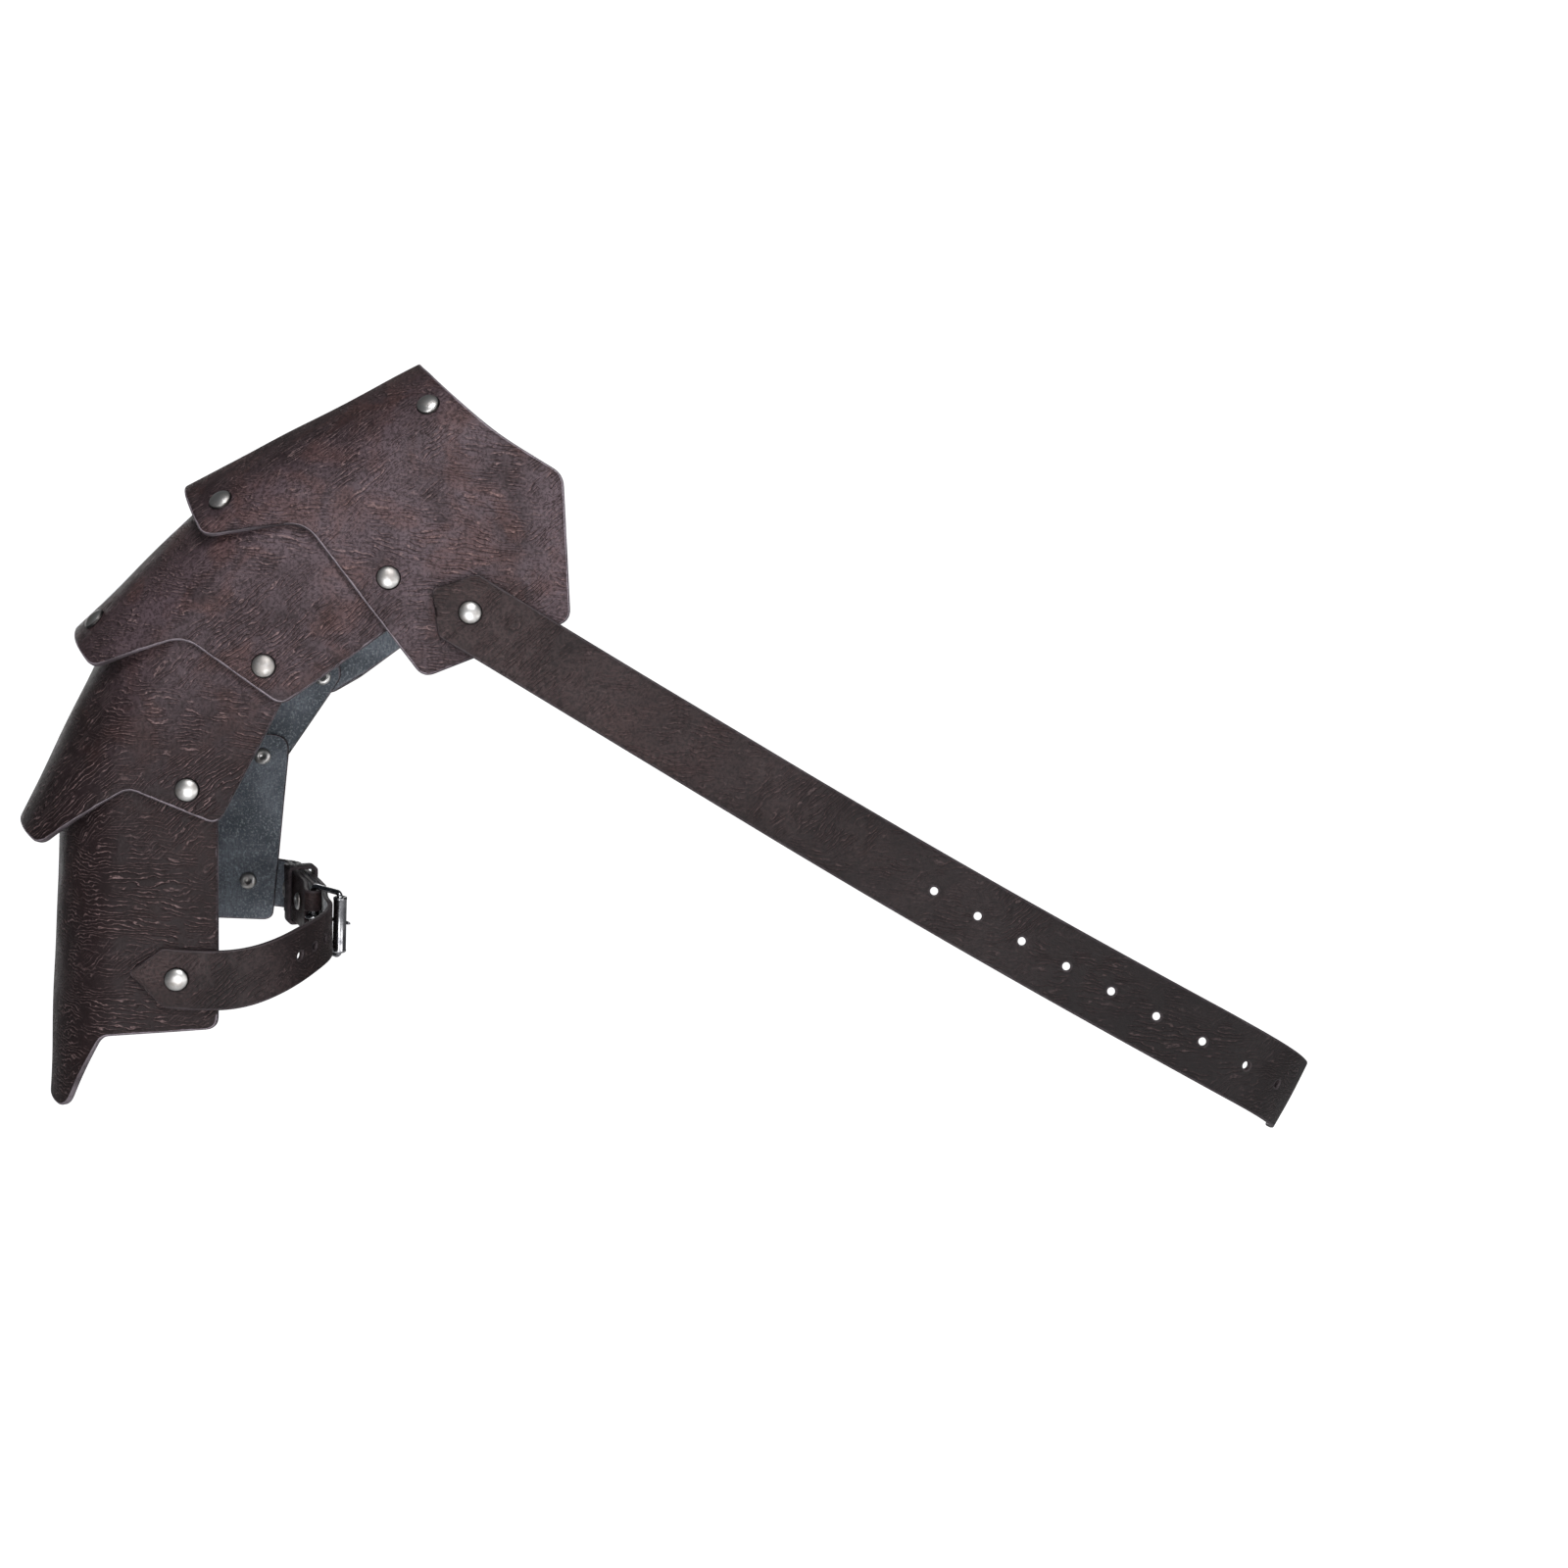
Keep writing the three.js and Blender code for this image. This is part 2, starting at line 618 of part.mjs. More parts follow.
function buckleStrap() {
  const [, , , , straight, turned] = LOOP_ENDS;
  const outer = uniqueSorted([
    ...steps(BAR_AT, straight, PLY_STEPS.run), ...steps(straight, turned, PLY_STEPS.bend),
    ...steps(turned, PLY_END, PLY_STEPS.run),
  ]).reverse();
  const square = (frame) => ({ ...frame, across: frame.up, half: ARM_WIDTH / 2 });
  const stations = outer.map((at) => {
    const frame = loopFrame(at, 0);
    return at < STRAIGHT_END ? square(frame) : { ...frame, half: LOOP_HALF };
  });
  const bar = loopFrame(BAR_AT, -PLY_RADIUS);
  for (let i = 1; i < FOLD_STEPS; i += 1) {
    const turn = Math.PI * i / FOLD_STEPS;
    const outward = bar.outward.clone().multiplyScalar(Math.cos(turn));
    outward.addScaledVector(bar.along, -Math.sin(turn));
    const centre = bar.centre.clone().addScaledVector(outward, PLY_RADIUS);
    stations.push(square({ centre, outward, up: bar.up }));
  }
  steps(BAR_AT, PLY_INNER_END, PLY_STEPS.inner).forEach((at) => {
    const closed = (mark) => smooth(mark, BAR_AT, BAR_AT + PLY_CLOSING);
    const offset = (mark) => -2 * PLY_RADIUS + (2 * PLY_RADIUS - PLY_CLOSED) * closed(mark);
    const here = loopFrame(at, offset(at));
    const slant = (offset(at + SLOPE_STEP) - offset(at - SLOPE_STEP)) / (2 * SLOPE_STEP);
    const outward = here.outward.clone().addScaledVector(here.along, -slant).normalize().negate();
    stations.push(square({ ...here, outward }));
  });
  const slot = loopBox(bar, SLOT_ALONG, SLOT_OUT, [-SLOT_WIDTH / 2, SLOT_WIDTH / 2]);
  return sheetSolid(strapStations(stations, PLY_WALL)).subtract(slot);
}

// Turns a geometry built along x (along the strap), y (outwards) and z (across) to a frame of the loop.
function placed(geometry, frame) {
  const matrix = new THREE.Matrix4().makeBasis(frame.along, frame.outward, frame.up.clone().negate());
  matrix.setPosition(frame.centre);
  return toManifold(geometry.applyMatrix4(matrix));
}

function loopBox(frame, along, outward, across) {
  const size = [along, outward, across].map(([a, b]) => b - a);
  const middle = [along, outward, across].map(([a, b]) => (a + b) / 2);
  const box = new THREE.BoxGeometry(...size);
  box.translate(...middle);
  return placed(box, frame);
}

function extrudedAcross(shape, from, to, frame) {
  const options = { depth: to - from, bevelEnabled: false, curveSegments: CURVE_SEGMENTS };
  const geometry = new THREE.ExtrudeGeometry(shape, options);
  geometry.translate(0, 0, from);
  return placed(geometry, frame);
}

function ringShape(halfAcross, low, high, wall, rounding) {
  const outline = (grow, target) => {
    const r = rounding + grow;
    const [x0, x1, y0, y1] = [-halfAcross - grow, halfAcross + grow, low - grow, high + grow];
    target.moveTo(x0 + r, y0);
    target.lineTo(x1 - r, y0);
    target.quadraticCurveTo(x1, y0, x1, y0 + r);
    target.lineTo(x1, y1 - r);
    target.quadraticCurveTo(x1, y1, x1 - r, y1);
    target.lineTo(x0 + r, y1);
    target.quadraticCurveTo(x0, y1, x0, y1 - r);
    target.lineTo(x0, y0 + r);
    target.quadraticCurveTo(x0, y0, x0 + r, y0);
    return target;
  };
  const shape = outline(wall, new THREE.Shape());
  shape.holes.push(outline(0, new THREE.Path()));
  return shape;
}

// The buckle's own directions: from the bar to the roller, outwards and across.
function buckleFrame() {
  const bar = loopFrame(BAR_AT, -PLY_RADIUS);
  const roller = loopFrame(ROLLER_AT, ARM_WALL / 2 + ROLLER_GAP + ROLLER_RADIUS);
  bar.centre.addScaledVector(bar.up, -BUCKLE_DROP);
  const along = roller.centre.sub(bar.centre);
  along.addScaledVector(bar.up, -along.dot(bar.up));
  const span = along.length();
  along.normalize();
  const outward = bar.up.clone().cross(along);
  if (outward.dot(bar.outward) < 0) {
    outward.negate();
  }
  return { centre: bar.centre, along, outward, up: outward.clone().cross(along), span };
}

const group = new THREE.Group();

function addPiece(name, solid, look) {
  const mesh = new THREE.Mesh(fromManifold(solid), new THREE.MeshStandardMaterial(look));
  mesh.name = name;
  group.add(mesh);
}

const LEATHER = { color: '#3b2722', metalness: 0, roughness: 0.5 };
const STRAP = { color: '#332825', metalness: 0, roughness: 0.55 };
const NICKEL = { color: '#8d8983', metalness: 1, roughness: 0.35 };
const DARK_METAL = { color: '#4a4a4c', metalness: 1, roughness: 0.3 };

const prepared = new Map(LAMES.map((lame) => [lame.name, prepareLame(lame)]));
const lameSolids = new Map(LAMES.map((lame) => [lame.name, lameSolid(prepared.get(lame.name))]));
const rivets = [];
const bore = (name, seat, outward) => lameSolids.set(name, bored(lameSolids.get(name), seat, outward));

LOBE_RIVETS.forEach(({ name, x, backX, z, outer, inner }) => {
  [-1, 1].forEach((side) => {
    const seat = lean(new THREE.Vector3(side < 0 ? x : backX, side * outer.halfWidth, z));
    const outward = new THREE.Vector3(0, side, 0);
    const grip = outer.halfWidth - inner.halfWidth + LAME_WALL;
    bore(outer.name, seat, outward);
    bore(inner.name, seat, outward);
    rivets.push([`${name}_${side < 0 ? 'front' : 'back'}`, rivetSolid(seat, outward, grip, CAP_HEIGHT)]);
  });
});

EDGE_RIVETS.forEach(({ name, lame, along, around }) => {
  [-1, 1].forEach((side) => {
    const { point, outward } = lameSpot(prepared.get(lame.name), along, side * around);
    bore(lame.name, point, outward);
    const solid = rivetSolid(point, outward, LAME_WALL + EDGE_RIVET_PLAY, CAP_HEIGHT);
    rivets.push([`${name}_${side < 0 ? 'front' : 'back'}`, solid]);
  });
});

const chestSeat = chestFrame(0);
chestSeat.centre.addScaledVector(chestSeat.outward, CHEST_WALL / 2);
bore('top_lame', chestSeat.centre, chestSeat.outward);
const chest = bored(chestStrap(), chestSeat.centre, chestSeat.outward);
const chestGrip = CHEST_WALL + GAP + LAME_WALL;
rivets.push(['chest_strap_rivet', rivetSolid(chestSeat.centre, chestSeat.outward, chestGrip, CAP_HEIGHT)]);

const armSeat = loopFrame(LOOP_FRONT_RIVET, ARM_WALL / 2);
bore('arm_lame', armSeat.centre, armSeat.outward);
const armGrip = -armSeat.centre.y - ARM_LAME.halfWidth + LAME_WALL;
rivets.push(['arm_strap_rivet', rivetSolid(armSeat.centre, armSeat.outward, armGrip, CAP_HEIGHT)]);

const backSeat = loopFrame(PLY_BACK_RIVET, PLY_WALL / 2);
bore('arm_lame', backSeat.centre, backSeat.outward);
const backGrip = backSeat.centre.y - ARM_LAME.halfWidth + LAME_WALL;
rivets.push(['buckle_strap_rivet', rivetSolid(backSeat.centre, backSeat.outward, backGrip, CAP_HEIGHT)]);

let folded = bored(buckleStrap(), backSeat.centre, backSeat.outward);
FOLD_RIVETS.forEach((at, i) => {
  const seat = loopFrame(at, PLY_WALL / 2);
  folded = bored(folded, seat.centre, seat.outward);
  const solid = rivetSolid(seat.centre, seat.outward, 2 * PLY_WALL + GAP, LOW_CAP_HEIGHT);
  rivets.push([`fold_rivet_${i + 1}`, solid]);
});

// Buckle parts in the buckle's own directions.
const buckle = buckleFrame();
const stadium = new THREE.Shape();
stadium.absarc(0, 0, FRAME_BAND, Math.PI / 2, Math.PI * 1.5, false);
stadium.absarc(buckle.span, 0, FRAME_BAND, -Math.PI / 2, Math.PI / 2, false);
const barEnd = FRAME_INSIDE + FRAME_WALL;
const rollerCentre = buckle.centre.clone().addScaledVector(buckle.along, buckle.span);
const frameSolid = extrudedAcross(stadium, FRAME_INSIDE, barEnd, buckle)
  .add(extrudedAcross(stadium, -barEnd, -FRAME_INSIDE, buckle))
  .add(rod(buckle.centre, buckle.up, BAR_RADIUS, 2 * FRAME_INSIDE + BAR_OVERLAP))
  .add(rod(rollerCentre, buckle.up, AXLE_RADIUS, 2 * FRAME_INSIDE + BAR_OVERLAP));
const rollerSolid = rod(rollerCentre, buckle.up, ROLLER_RADIUS, ROLLER_LENGTH, ROLLER_ROUND)
  .subtract(rod(rollerCentre, buckle.up, ROLLER_BORE, 2 * ROLLER_LENGTH, ROLLER_ROUND));

// The prong: an eye round the bar and a straight tongue that rests on the roller.
const eyeRadius = BAR_RADIUS + EYE_GAP + EYE_WALL;
const rest = ROLLER_RADIUS + GAP;
const tongueEnd = buckle.span + PRONG_PAST;
const prongShape = new THREE.Shape();
prongShape.moveTo(...PRONG_ROOT);
prongShape.lineTo(buckle.span - PRONG_BEND, rest);
prongShape.lineTo(tongueEnd, rest);
prongShape.lineTo(tongueEnd + PRONG_THICK / 3, rest + PRONG_THICK / 2);
prongShape.lineTo(tongueEnd, rest + PRONG_THICK);
prongShape.lineTo(buckle.span - PRONG_BEND, rest + PRONG_THICK);
prongShape.lineTo(PRONG_BACK, eyeRadius);
const eye = new THREE.Shape();
eye.absarc(0, 0, eyeRadius, 0, Math.PI * 2, false);
const prongSolid = extrudedAcross(prongShape, -PRONG_WIDTH / 2, PRONG_WIDTH / 2, buckle)
  .add(extrudedAcross(eye, -PRONG_WIDTH / 2, PRONG_WIDTH / 2, buckle))
  .subtract(rod(buckle.centre, buckle.up, BAR_RADIUS + EYE_GAP, 2 * PRONG_WIDTH));
const passageHalf = PRONG_WIDTH / 2 + PASSAGE_PLAY;
const passage = loopBox(buckle, [PASSAGE_FROM, buckle.span - PASSAGE_SHORT], [0, rest + PRONG_THICK],
  [-passageHalf, passageHalf]);
const arm = bored(armStrap(), armSeat.centre, armSeat.outward).subtract(passage);

const keeperFrame = loopFrame(KEEPER_AT, 0);
const keeperLow = -PLY_CLOSED - PLY_WALL / 2 - GAP;
const keeperHigh = ARM_LIFT + ARM_WALL / 2 + GAP;
const keeperRing = ringShape(ARM_WIDTH / 2 + GAP, keeperLow, keeperHigh, KEEPER_WALL, KEEPER_CORNER);
const keeperGeometry = new THREE.ExtrudeGeometry(keeperRing,
  { depth: KEEPER_WIDTH, bevelEnabled: false, curveSegments: KEEPER_SEGMENTS });
keeperGeometry.translate(0, 0, -KEEPER_WIDTH / 2);
keeperGeometry.rotateY(Math.PI / 2);
const keeper = placed(keeperGeometry, keeperFrame);

lameSolids.forEach((solid, name) => addPiece(name, solid, LEATHER));
addPiece('chest_strap', chest, STRAP);
addPiece('arm_strap', arm, STRAP);
addPiece('buckle_strap', folded, STRAP);
addPiece('strap_keeper', keeper, STRAP);
addPiece('buckle_frame', frameSolid, DARK_METAL);
addPiece('buckle_roller', rollerSolid, DARK_METAL);
addPiece('buckle_prong', prongSolid, DARK_METAL);
rivets.forEach(([name, solid]) => addPiece(name, solid, NICKEL));

export default group;
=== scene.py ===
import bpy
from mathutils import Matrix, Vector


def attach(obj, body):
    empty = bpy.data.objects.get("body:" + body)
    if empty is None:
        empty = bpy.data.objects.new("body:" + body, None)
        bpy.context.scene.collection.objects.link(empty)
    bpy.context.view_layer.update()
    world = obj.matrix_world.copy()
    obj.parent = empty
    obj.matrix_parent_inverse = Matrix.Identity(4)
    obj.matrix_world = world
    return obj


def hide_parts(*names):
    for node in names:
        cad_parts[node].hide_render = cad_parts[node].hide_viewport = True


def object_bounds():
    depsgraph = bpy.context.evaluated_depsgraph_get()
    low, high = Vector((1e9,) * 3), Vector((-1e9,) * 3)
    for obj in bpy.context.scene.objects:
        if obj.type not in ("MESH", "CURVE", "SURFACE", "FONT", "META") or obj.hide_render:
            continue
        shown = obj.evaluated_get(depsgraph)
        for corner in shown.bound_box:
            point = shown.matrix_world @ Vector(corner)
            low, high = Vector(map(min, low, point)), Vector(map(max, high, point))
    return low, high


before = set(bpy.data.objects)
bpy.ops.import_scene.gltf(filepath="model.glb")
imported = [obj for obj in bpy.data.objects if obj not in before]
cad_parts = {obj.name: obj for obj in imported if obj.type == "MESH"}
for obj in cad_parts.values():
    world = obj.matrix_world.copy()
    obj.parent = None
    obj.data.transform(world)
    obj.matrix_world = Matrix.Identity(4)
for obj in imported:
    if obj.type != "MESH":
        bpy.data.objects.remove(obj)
CAD_BOX = [list(corner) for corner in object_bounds()]

import math

import bpy
import numpy as np
from mathutils import Vector

bl_info = {
    "name": "Leather Pauldron",
    "version": (1, 0, 0),
    "blender": (4, 5, 0),
    "location": "3D View > Sidebar > Pauldron",
    "description": "Makes a shoulder guard of four leather lames with its straps, buckle and rivets",
    "category": "Add Mesh",
}

MM = 0.001

# ---- sizes shared by the pieces, in millimetres ----

LAME_WALL = 2.5
CHEST_WALL = 2.5
CHEST_WIDTH = 31.4
ARM_WALL = 2.3
ARM_WIDTH = 24.5
GAP = 0.35

LEAN_LEVEL = -111.5
LEAN_SCALE = 0.78
LEAN_REACH = 50.0

# Each lame bends about a straight ridge: foot is the ridge's lower end (x, z) and slope its rise in degrees.
# depth and half_width are the quarter ellipse over the ridge, and beyond it the lobes hang flat.
# Half of the flat pattern runs along the low edge, round the front or the back lobe and along the high edge.
# Its points are the places along the ridge and round the bend, and the corner's rounding.
LAMES = {
    "top_lame": {
        "slope": 29, "foot": (-46.3, -28), "depth": 49, "half_width": 75,
        "low": [(0, 0, 0), (3, 85, 5), (42, 100, 8)],
        "front": [(52.6, 179.6, 5), (118.8, 187.8, 5), (146.4, 132.4, 5)],
        "back": [(53, 166, 5), (121, 172, 5), (143, 131, 5)],
        "high": [(128.2, 101, 14), (119.8, 72, 14), (117.3, 45, 10), (116.8, 0, 0)],
    },
    "second_lame": {
        "slope": 45.1, "foot": (-93.2, -90.6), "depth": 45, "half_width": 71.9,
        "low": [(0, 0, 0), (-0.6, 77.4, 5), (35, 95.9, 7)],
        "front": [(42, 143.6, 5), (105.5, 153.5, 6), (127, 140, 8)],
        "back": [(42.5, 137, 5), (105, 146, 6), (124, 140, 8)],
        "high": [(120, 118, 8), (103, 98, 12), (84, 50, 10), (80, 0, 0)],
    },
    "third_lame": {
        "slope": 64.4, "foot": (-117.9, -173), "depth": 43, "half_width": 68.8,
        "low": [(0, 0, 0), (-2.3, 70.3, 5), (34.9, 95, 4)],
        "front": [(36.3, 134, 5), (116, 136.4, 10), (120, 112, 9)],
        "back": [(37, 129, 5), (115, 132, 10), (119, 110, 9)],
        "high": [(100, 70, 12), (90, 0, 0)],
    },
    "arm_lame": {
        "slope": 87.1, "foot": (-108.7, -289.4), "depth": 41, "half_width": 65.7,
        "low": [(-4, 0, 0), (-9, 60.5, 7), (24, 79, 4)],
        "front": [(28.5, 126.5, 5), (144, 122.3, 13)],
        "back": [(23, 123, 5), (146, 127, 13)],
        "high": [(142, 98, 12), (134, 60, 10), (126, 0, 0)],
    },
}
LOBE_RIVETS = {
    "lobe_rivet_1": (49.1, 49.1, -74.4, "top_lame", "second_lame"),
    "lobe_rivet_2": (-2.5, -2.5, -111.5, "second_lame", "third_lame"),
    "lobe_rivet_3": (-34.8, -32.0, -163.3, "third_lame", "arm_lame"),
}
EDGE_RIVETS = {
    "neck_rivet": ("top_lame", 110.9, 78.8),
    "tongue_rivet_1": ("top_lame", 15.8, 71.4),
    "tongue_rivet_2": ("second_lame", 11.6, 51.8),
}

# Chest strap: flat on the front lobe, then swung forward, its free end curled back.
CHEST_ROOT = (82.8, -88.8)
CHEST_FALL = 31.5
CHEST_EASE = (2.4, 150, 330)
CHEST_SWING = (14, 25, 90)
CHEST_CURL = (352, 50)
CHEST_DROOP = (4.6, 372)
CHEST_TIPS = (-18, -5.8, 430, 446)
CHEST_HOLES = [228 + 20.6 * i for i in range(10)]

# The arm strap and the buckle strap share one loop seen from above: length and turn of each stretch.
LOOP_START = (-60, -67.2)
LOOP = [(36, 0), (32.6, 55), (32.7, 33), (14.6, 25.5), (76.8, 0), (9.3, 66.5), (38.5, 0)]
LOOP_END = 245
LOOP_LEVEL = (-230, 108)
LOOP_RISE = 0.12
LOOP_DIP = (6, 45, 28)
LOOP_TIP = (3.8, 25)
LOOP_RAISE = (2, 95, 165)
FRONT_RIVET_AT = 19.6
ARM_TIPS = (0.8, 14.1, 200, 209)
ARM_END = 214
ARM_TAPER = (1.03, 0.09, 30, 105)
ARM_LIFT = (4.5, 115, 142)
ARM_HOLES = [72, 82.4, 92.4, 102.4, 146]
PASSAGE = (123.4, 3.8)
PLY_WALL = 2.2
PLY_END = 237
BACK_RIVET_AT = 215.3
PLY_INNER_END = 190
PLY_SQUARE = (180, 198)
PLY_CLOSING = 20
FOLD_RIVETS_AT = [158, 183]
KEEPER_AT = 173
ROLLER_AT = 114
BAR_AT = 132
ROLLER_GAP = 0.55
BUCKLE_DROP = 0.7
BAR_RADIUS = 1.6
ROLLER_RADIUS = 3.1
FRAME_SIDE = 14.85
PLY_RADIUS = PLY_WALL / 2 + GAP + BAR_RADIUS
PLY_CLOSED = PLY_WALL + GAP

CAP_RADIUS = 5.1
CAP_HEIGHT = 2.6
LOW_CAP_HEIGHT = 1.5
RING_RADIUS = 4.2
SHANK_RADIUS = 1.8
CAP_RIM = 0.45
CAP_LIFT = 0.08
RING_HEIGHT = 1.3
RIVET_SEGMENTS = 40

KEEPER_WALL = 1.8
KEEPER_WIDTH = 8.0
FRAME_RADIUS = 1.3
FRAME_CORNER = 2.2
ROLLER_HALF = 13.2
ROLLER_BORE = 1.9
PRONG_RADIUS = 0.85
PRONG_EYE = 2.85
PRONG_TURN = (355, 95)
PRONG_START = 1.5
PRONG_PAST = 1.8
BUCKLE_SLOT = (5.5, 2.4)

# How finely the leather is divided, and how round its rim is.
CORNER_STEPS = 8
CORNER_SHARE = 2.1
EDGE_SEARCH = 6
SEARCH_STEPS = 241
SECTION_STEPS = 801
LEAST_EDGE = 1.0
ROUND_STEP = 3.0
LEAST_STEP = 0.15
END_GAP = 0.05
LAME_COLUMNS = 25
NEAR_COLUMN = (1.3, 0.12)
NEXT_COLUMN = (3.2, 0.25)
STRAP_STEP = 1.6
TIP_HALF = 0.8
HOLE_BLOCK = 9.0
HOLE_CELLS = 8
HOLE_RINGS = 4
SIDE_COLUMNS = 4
SIDE_RIM = 1.2
RIM_ROUNDING = 0.5
TABLE_STEP = 0.5
LOOP_STEP = 0.05

WAVES = 9
WAVE_SEED = 7
WAVE_HEIGHT = 0.085
WAVE_LENGTHS = (26, 64)
WAVE_SHIFT = 1.7
DIMPLE_DEPTH = 0.3
DIMPLE_RADIUS = 6.5
DIMPLE_REACH = 9

CAMERA_PLACE = (0.1316, -0.7112, -0.1361)
CAMERA_TURN = 7.6
CAMERA_TILT = -2.3

# Softboxes: name, place, aim, side and power.
SOFTBOXES = [
    ("key", (0.12, -0.72, 0.44), (0.03, 0.0, -0.1), 0.26, 6.8),
    ("front", (-0.06, -0.9, -0.36), (-0.02, 0.0, -0.12), 0.5, 6.6),
    ("inside", (0.9, -0.9, -0.35), (-0.02, 0.05, -0.2), 0.8, 9.0),
    ("behind", (-0.45, 0.95, -0.05), (0.0, 0.0, -0.1), 0.7, 4.5),
]
SURROUND = (0.92, 0.95, 1.0, 1.0)
SURROUND_STRENGTH = 0.12
FLOOR_SHADE = 0.88
FLOOR_GLOW = 0.06


def smooth(value, low, high):
    """Eased step: 3x^2 - 2x^3, where x runs from 0 at low to 1 at high."""
    x = np.clip((value - low) / (high - low), 0, 1)
    return x * x * (3 - 2 * x)


def unit(vectors):
    """Vectors divided by their lengths."""
    return vectors / np.linalg.norm(vectors, axis=-1, keepdims=True)


def summed(steps):
    """Running total of the steps, from 0."""
    return np.concatenate([[0], np.cumsum(steps)])


# ---- the flat patterns and how they bend ----


def edge_chains(outline):
    """Half outline with each corner replaced by a quadratic curve, split at its widest point.

    Both chains give the place along the ridge as a function of the distance round the bend."""
    points = np.array(outline, float)
    corners, rounding = points[:, [1, 0]], points[:, 2]
    path = [corners[:1]]
    share = np.linspace(0, 1, CORNER_STEPS)[:, None]
    for i in range(1, len(corners) - 1):
        before, after = corners[i - 1] - corners[i], corners[i + 1] - corners[i]
        entry = corners[i] + unit(before) * min(rounding[i], np.linalg.norm(before) / CORNER_SHARE)
        leave = corners[i] + unit(after) * min(rounding[i], np.linalg.norm(after) / CORNER_SHARE)
        path.append((1 - share) ** 2 * entry + 2 * share * (1 - share) * corners[i] + share ** 2 * leave)
    path = np.vstack([*path, corners[-1:]])
    far = int(np.argmax(path[:, 0]))
    low, high = path[:far + 1], path[far:][::-1]
    tries = np.linspace(path[far, 0], path[far, 0] - EDGE_SEARCH, SEARCH_STEPS)
    width = np.interp(tries, high[:, 0], high[:, 1]) - np.interp(tries, low[:, 0], low[:, 1])
    return low, high, tries[np.argmax(width > LEAST_EDGE)]


def chain_marks(low, high, last, step):
    """Distances round the bend that step evenly along both edges, and never more than ROUND_STEP apart."""
    marks = [np.arange(0, last, ROUND_STEP), [last]]
    for chain in (low, high):
        run = summed(np.hypot(*np.diff(chain, axis=0).T))
        marks.append(np.interp(np.arange(0, run[-1], step), run, chain[:, 0]))
    marks = np.unique(np.round(np.concatenate(marks) / LEAST_STEP)) * LEAST_STEP
    return np.append(marks[marks < last - END_GAP], last)


def section(lame, around):
    """Quarter ellipse over the ridge, then straight: depth below the ridge, distance out, and normal."""
    turns = np.linspace(0, math.pi / 2, SECTION_STEPS)
    curve = np.stack([lame["depth"] * (1 - np.cos(turns)), lame["half_width"] * np.sin(turns)], 1)
    run = summed(np.hypot(*np.diff(curve, axis=0).T))
    side, distance = np.where(around < 0, -1.0, 1.0), np.abs(around)
    turn = np.interp(distance, run, turns)
    down = lame["depth"] * (1 - np.cos(turn)) + np.maximum(distance - run[-1], 0)
    normal = unit(np.stack([lame["half_width"] * np.cos(turn), lame["depth"] * np.sin(turn)], -1))
    return down, side * lame["half_width"] * np.sin(turn), normal[..., 0], side * normal[..., 1]


def lean(points):
    """Behind the ridge and below LEAN_LEVEL, heights shrink towards that level, eased over LEAN_REACH."""
    share = 1 - (1 - LEAN_SCALE) * smooth(points[..., 1], 0, LEAN_REACH)
    below = points[..., 2] - LEAN_LEVEL
    points[..., 2] = LEAN_LEVEL + np.where(below < 0, below * share, below)
    return points


def lame_point(lame, along, around, inset):
    """Foot of the ridge, plus the way along it, minus the section's depth square to it."""
    down, out, cos, sin = section(lame, around)
    slope = math.radians(lame["slope"])
    below = down + inset * cos
    x = lame["foot"][0] + along * math.cos(slope) + below * math.sin(slope)
    z = lame["foot"][1] + along * math.sin(slope) - below * math.cos(slope)
    return lean(np.stack([x, out - inset * sin, z], -1))


def lame_edges(lame, around):
    """Places along the ridge of the lower and upper edge at each distance round the bend."""
    result = []
    for end in (0, 1):
        front = np.interp(np.abs(around), *lame["chains"][0][end].T)
        back = np.interp(np.abs(around), *lame["chains"][1][end].T)
        result.append(np.where(around < 0, front, back))
    return result


def lame_bend(lame):
    """Places a pattern point on the straight line between its ruling's lower and upper end."""
    def bend(pattern, inset):
        around, along = pattern[:, 0], pattern[:, 1]
        low, high = lame_edges(lame, around)
        share = ((along - low) / (high - low))[:, None]
        start, end = lame_point(lame, low, around, inset), lame_point(lame, high, around, inset)
        return start + (end - start) * share
    return bend


for lame in LAMES.values():
    lame["chains"] = [edge_chains([*lame["low"], *lame[lobe], *lame["high"]]) for lobe in ("front", "back")]


def lame_spot(lame, along, around):
    """A point of the outer face and its outward direction, from differences along and round the bend."""
    bend = lame_bend(lame)
    near = np.array([[around, along], [around, along + 1], [around + 0.5, along], [around - 0.5, along]])
    here, up, right, left = bend(near, 0.0)
    normal = unit(np.cross(up - here, right - left))
    return here, normal if normal[0] < 0 else -normal


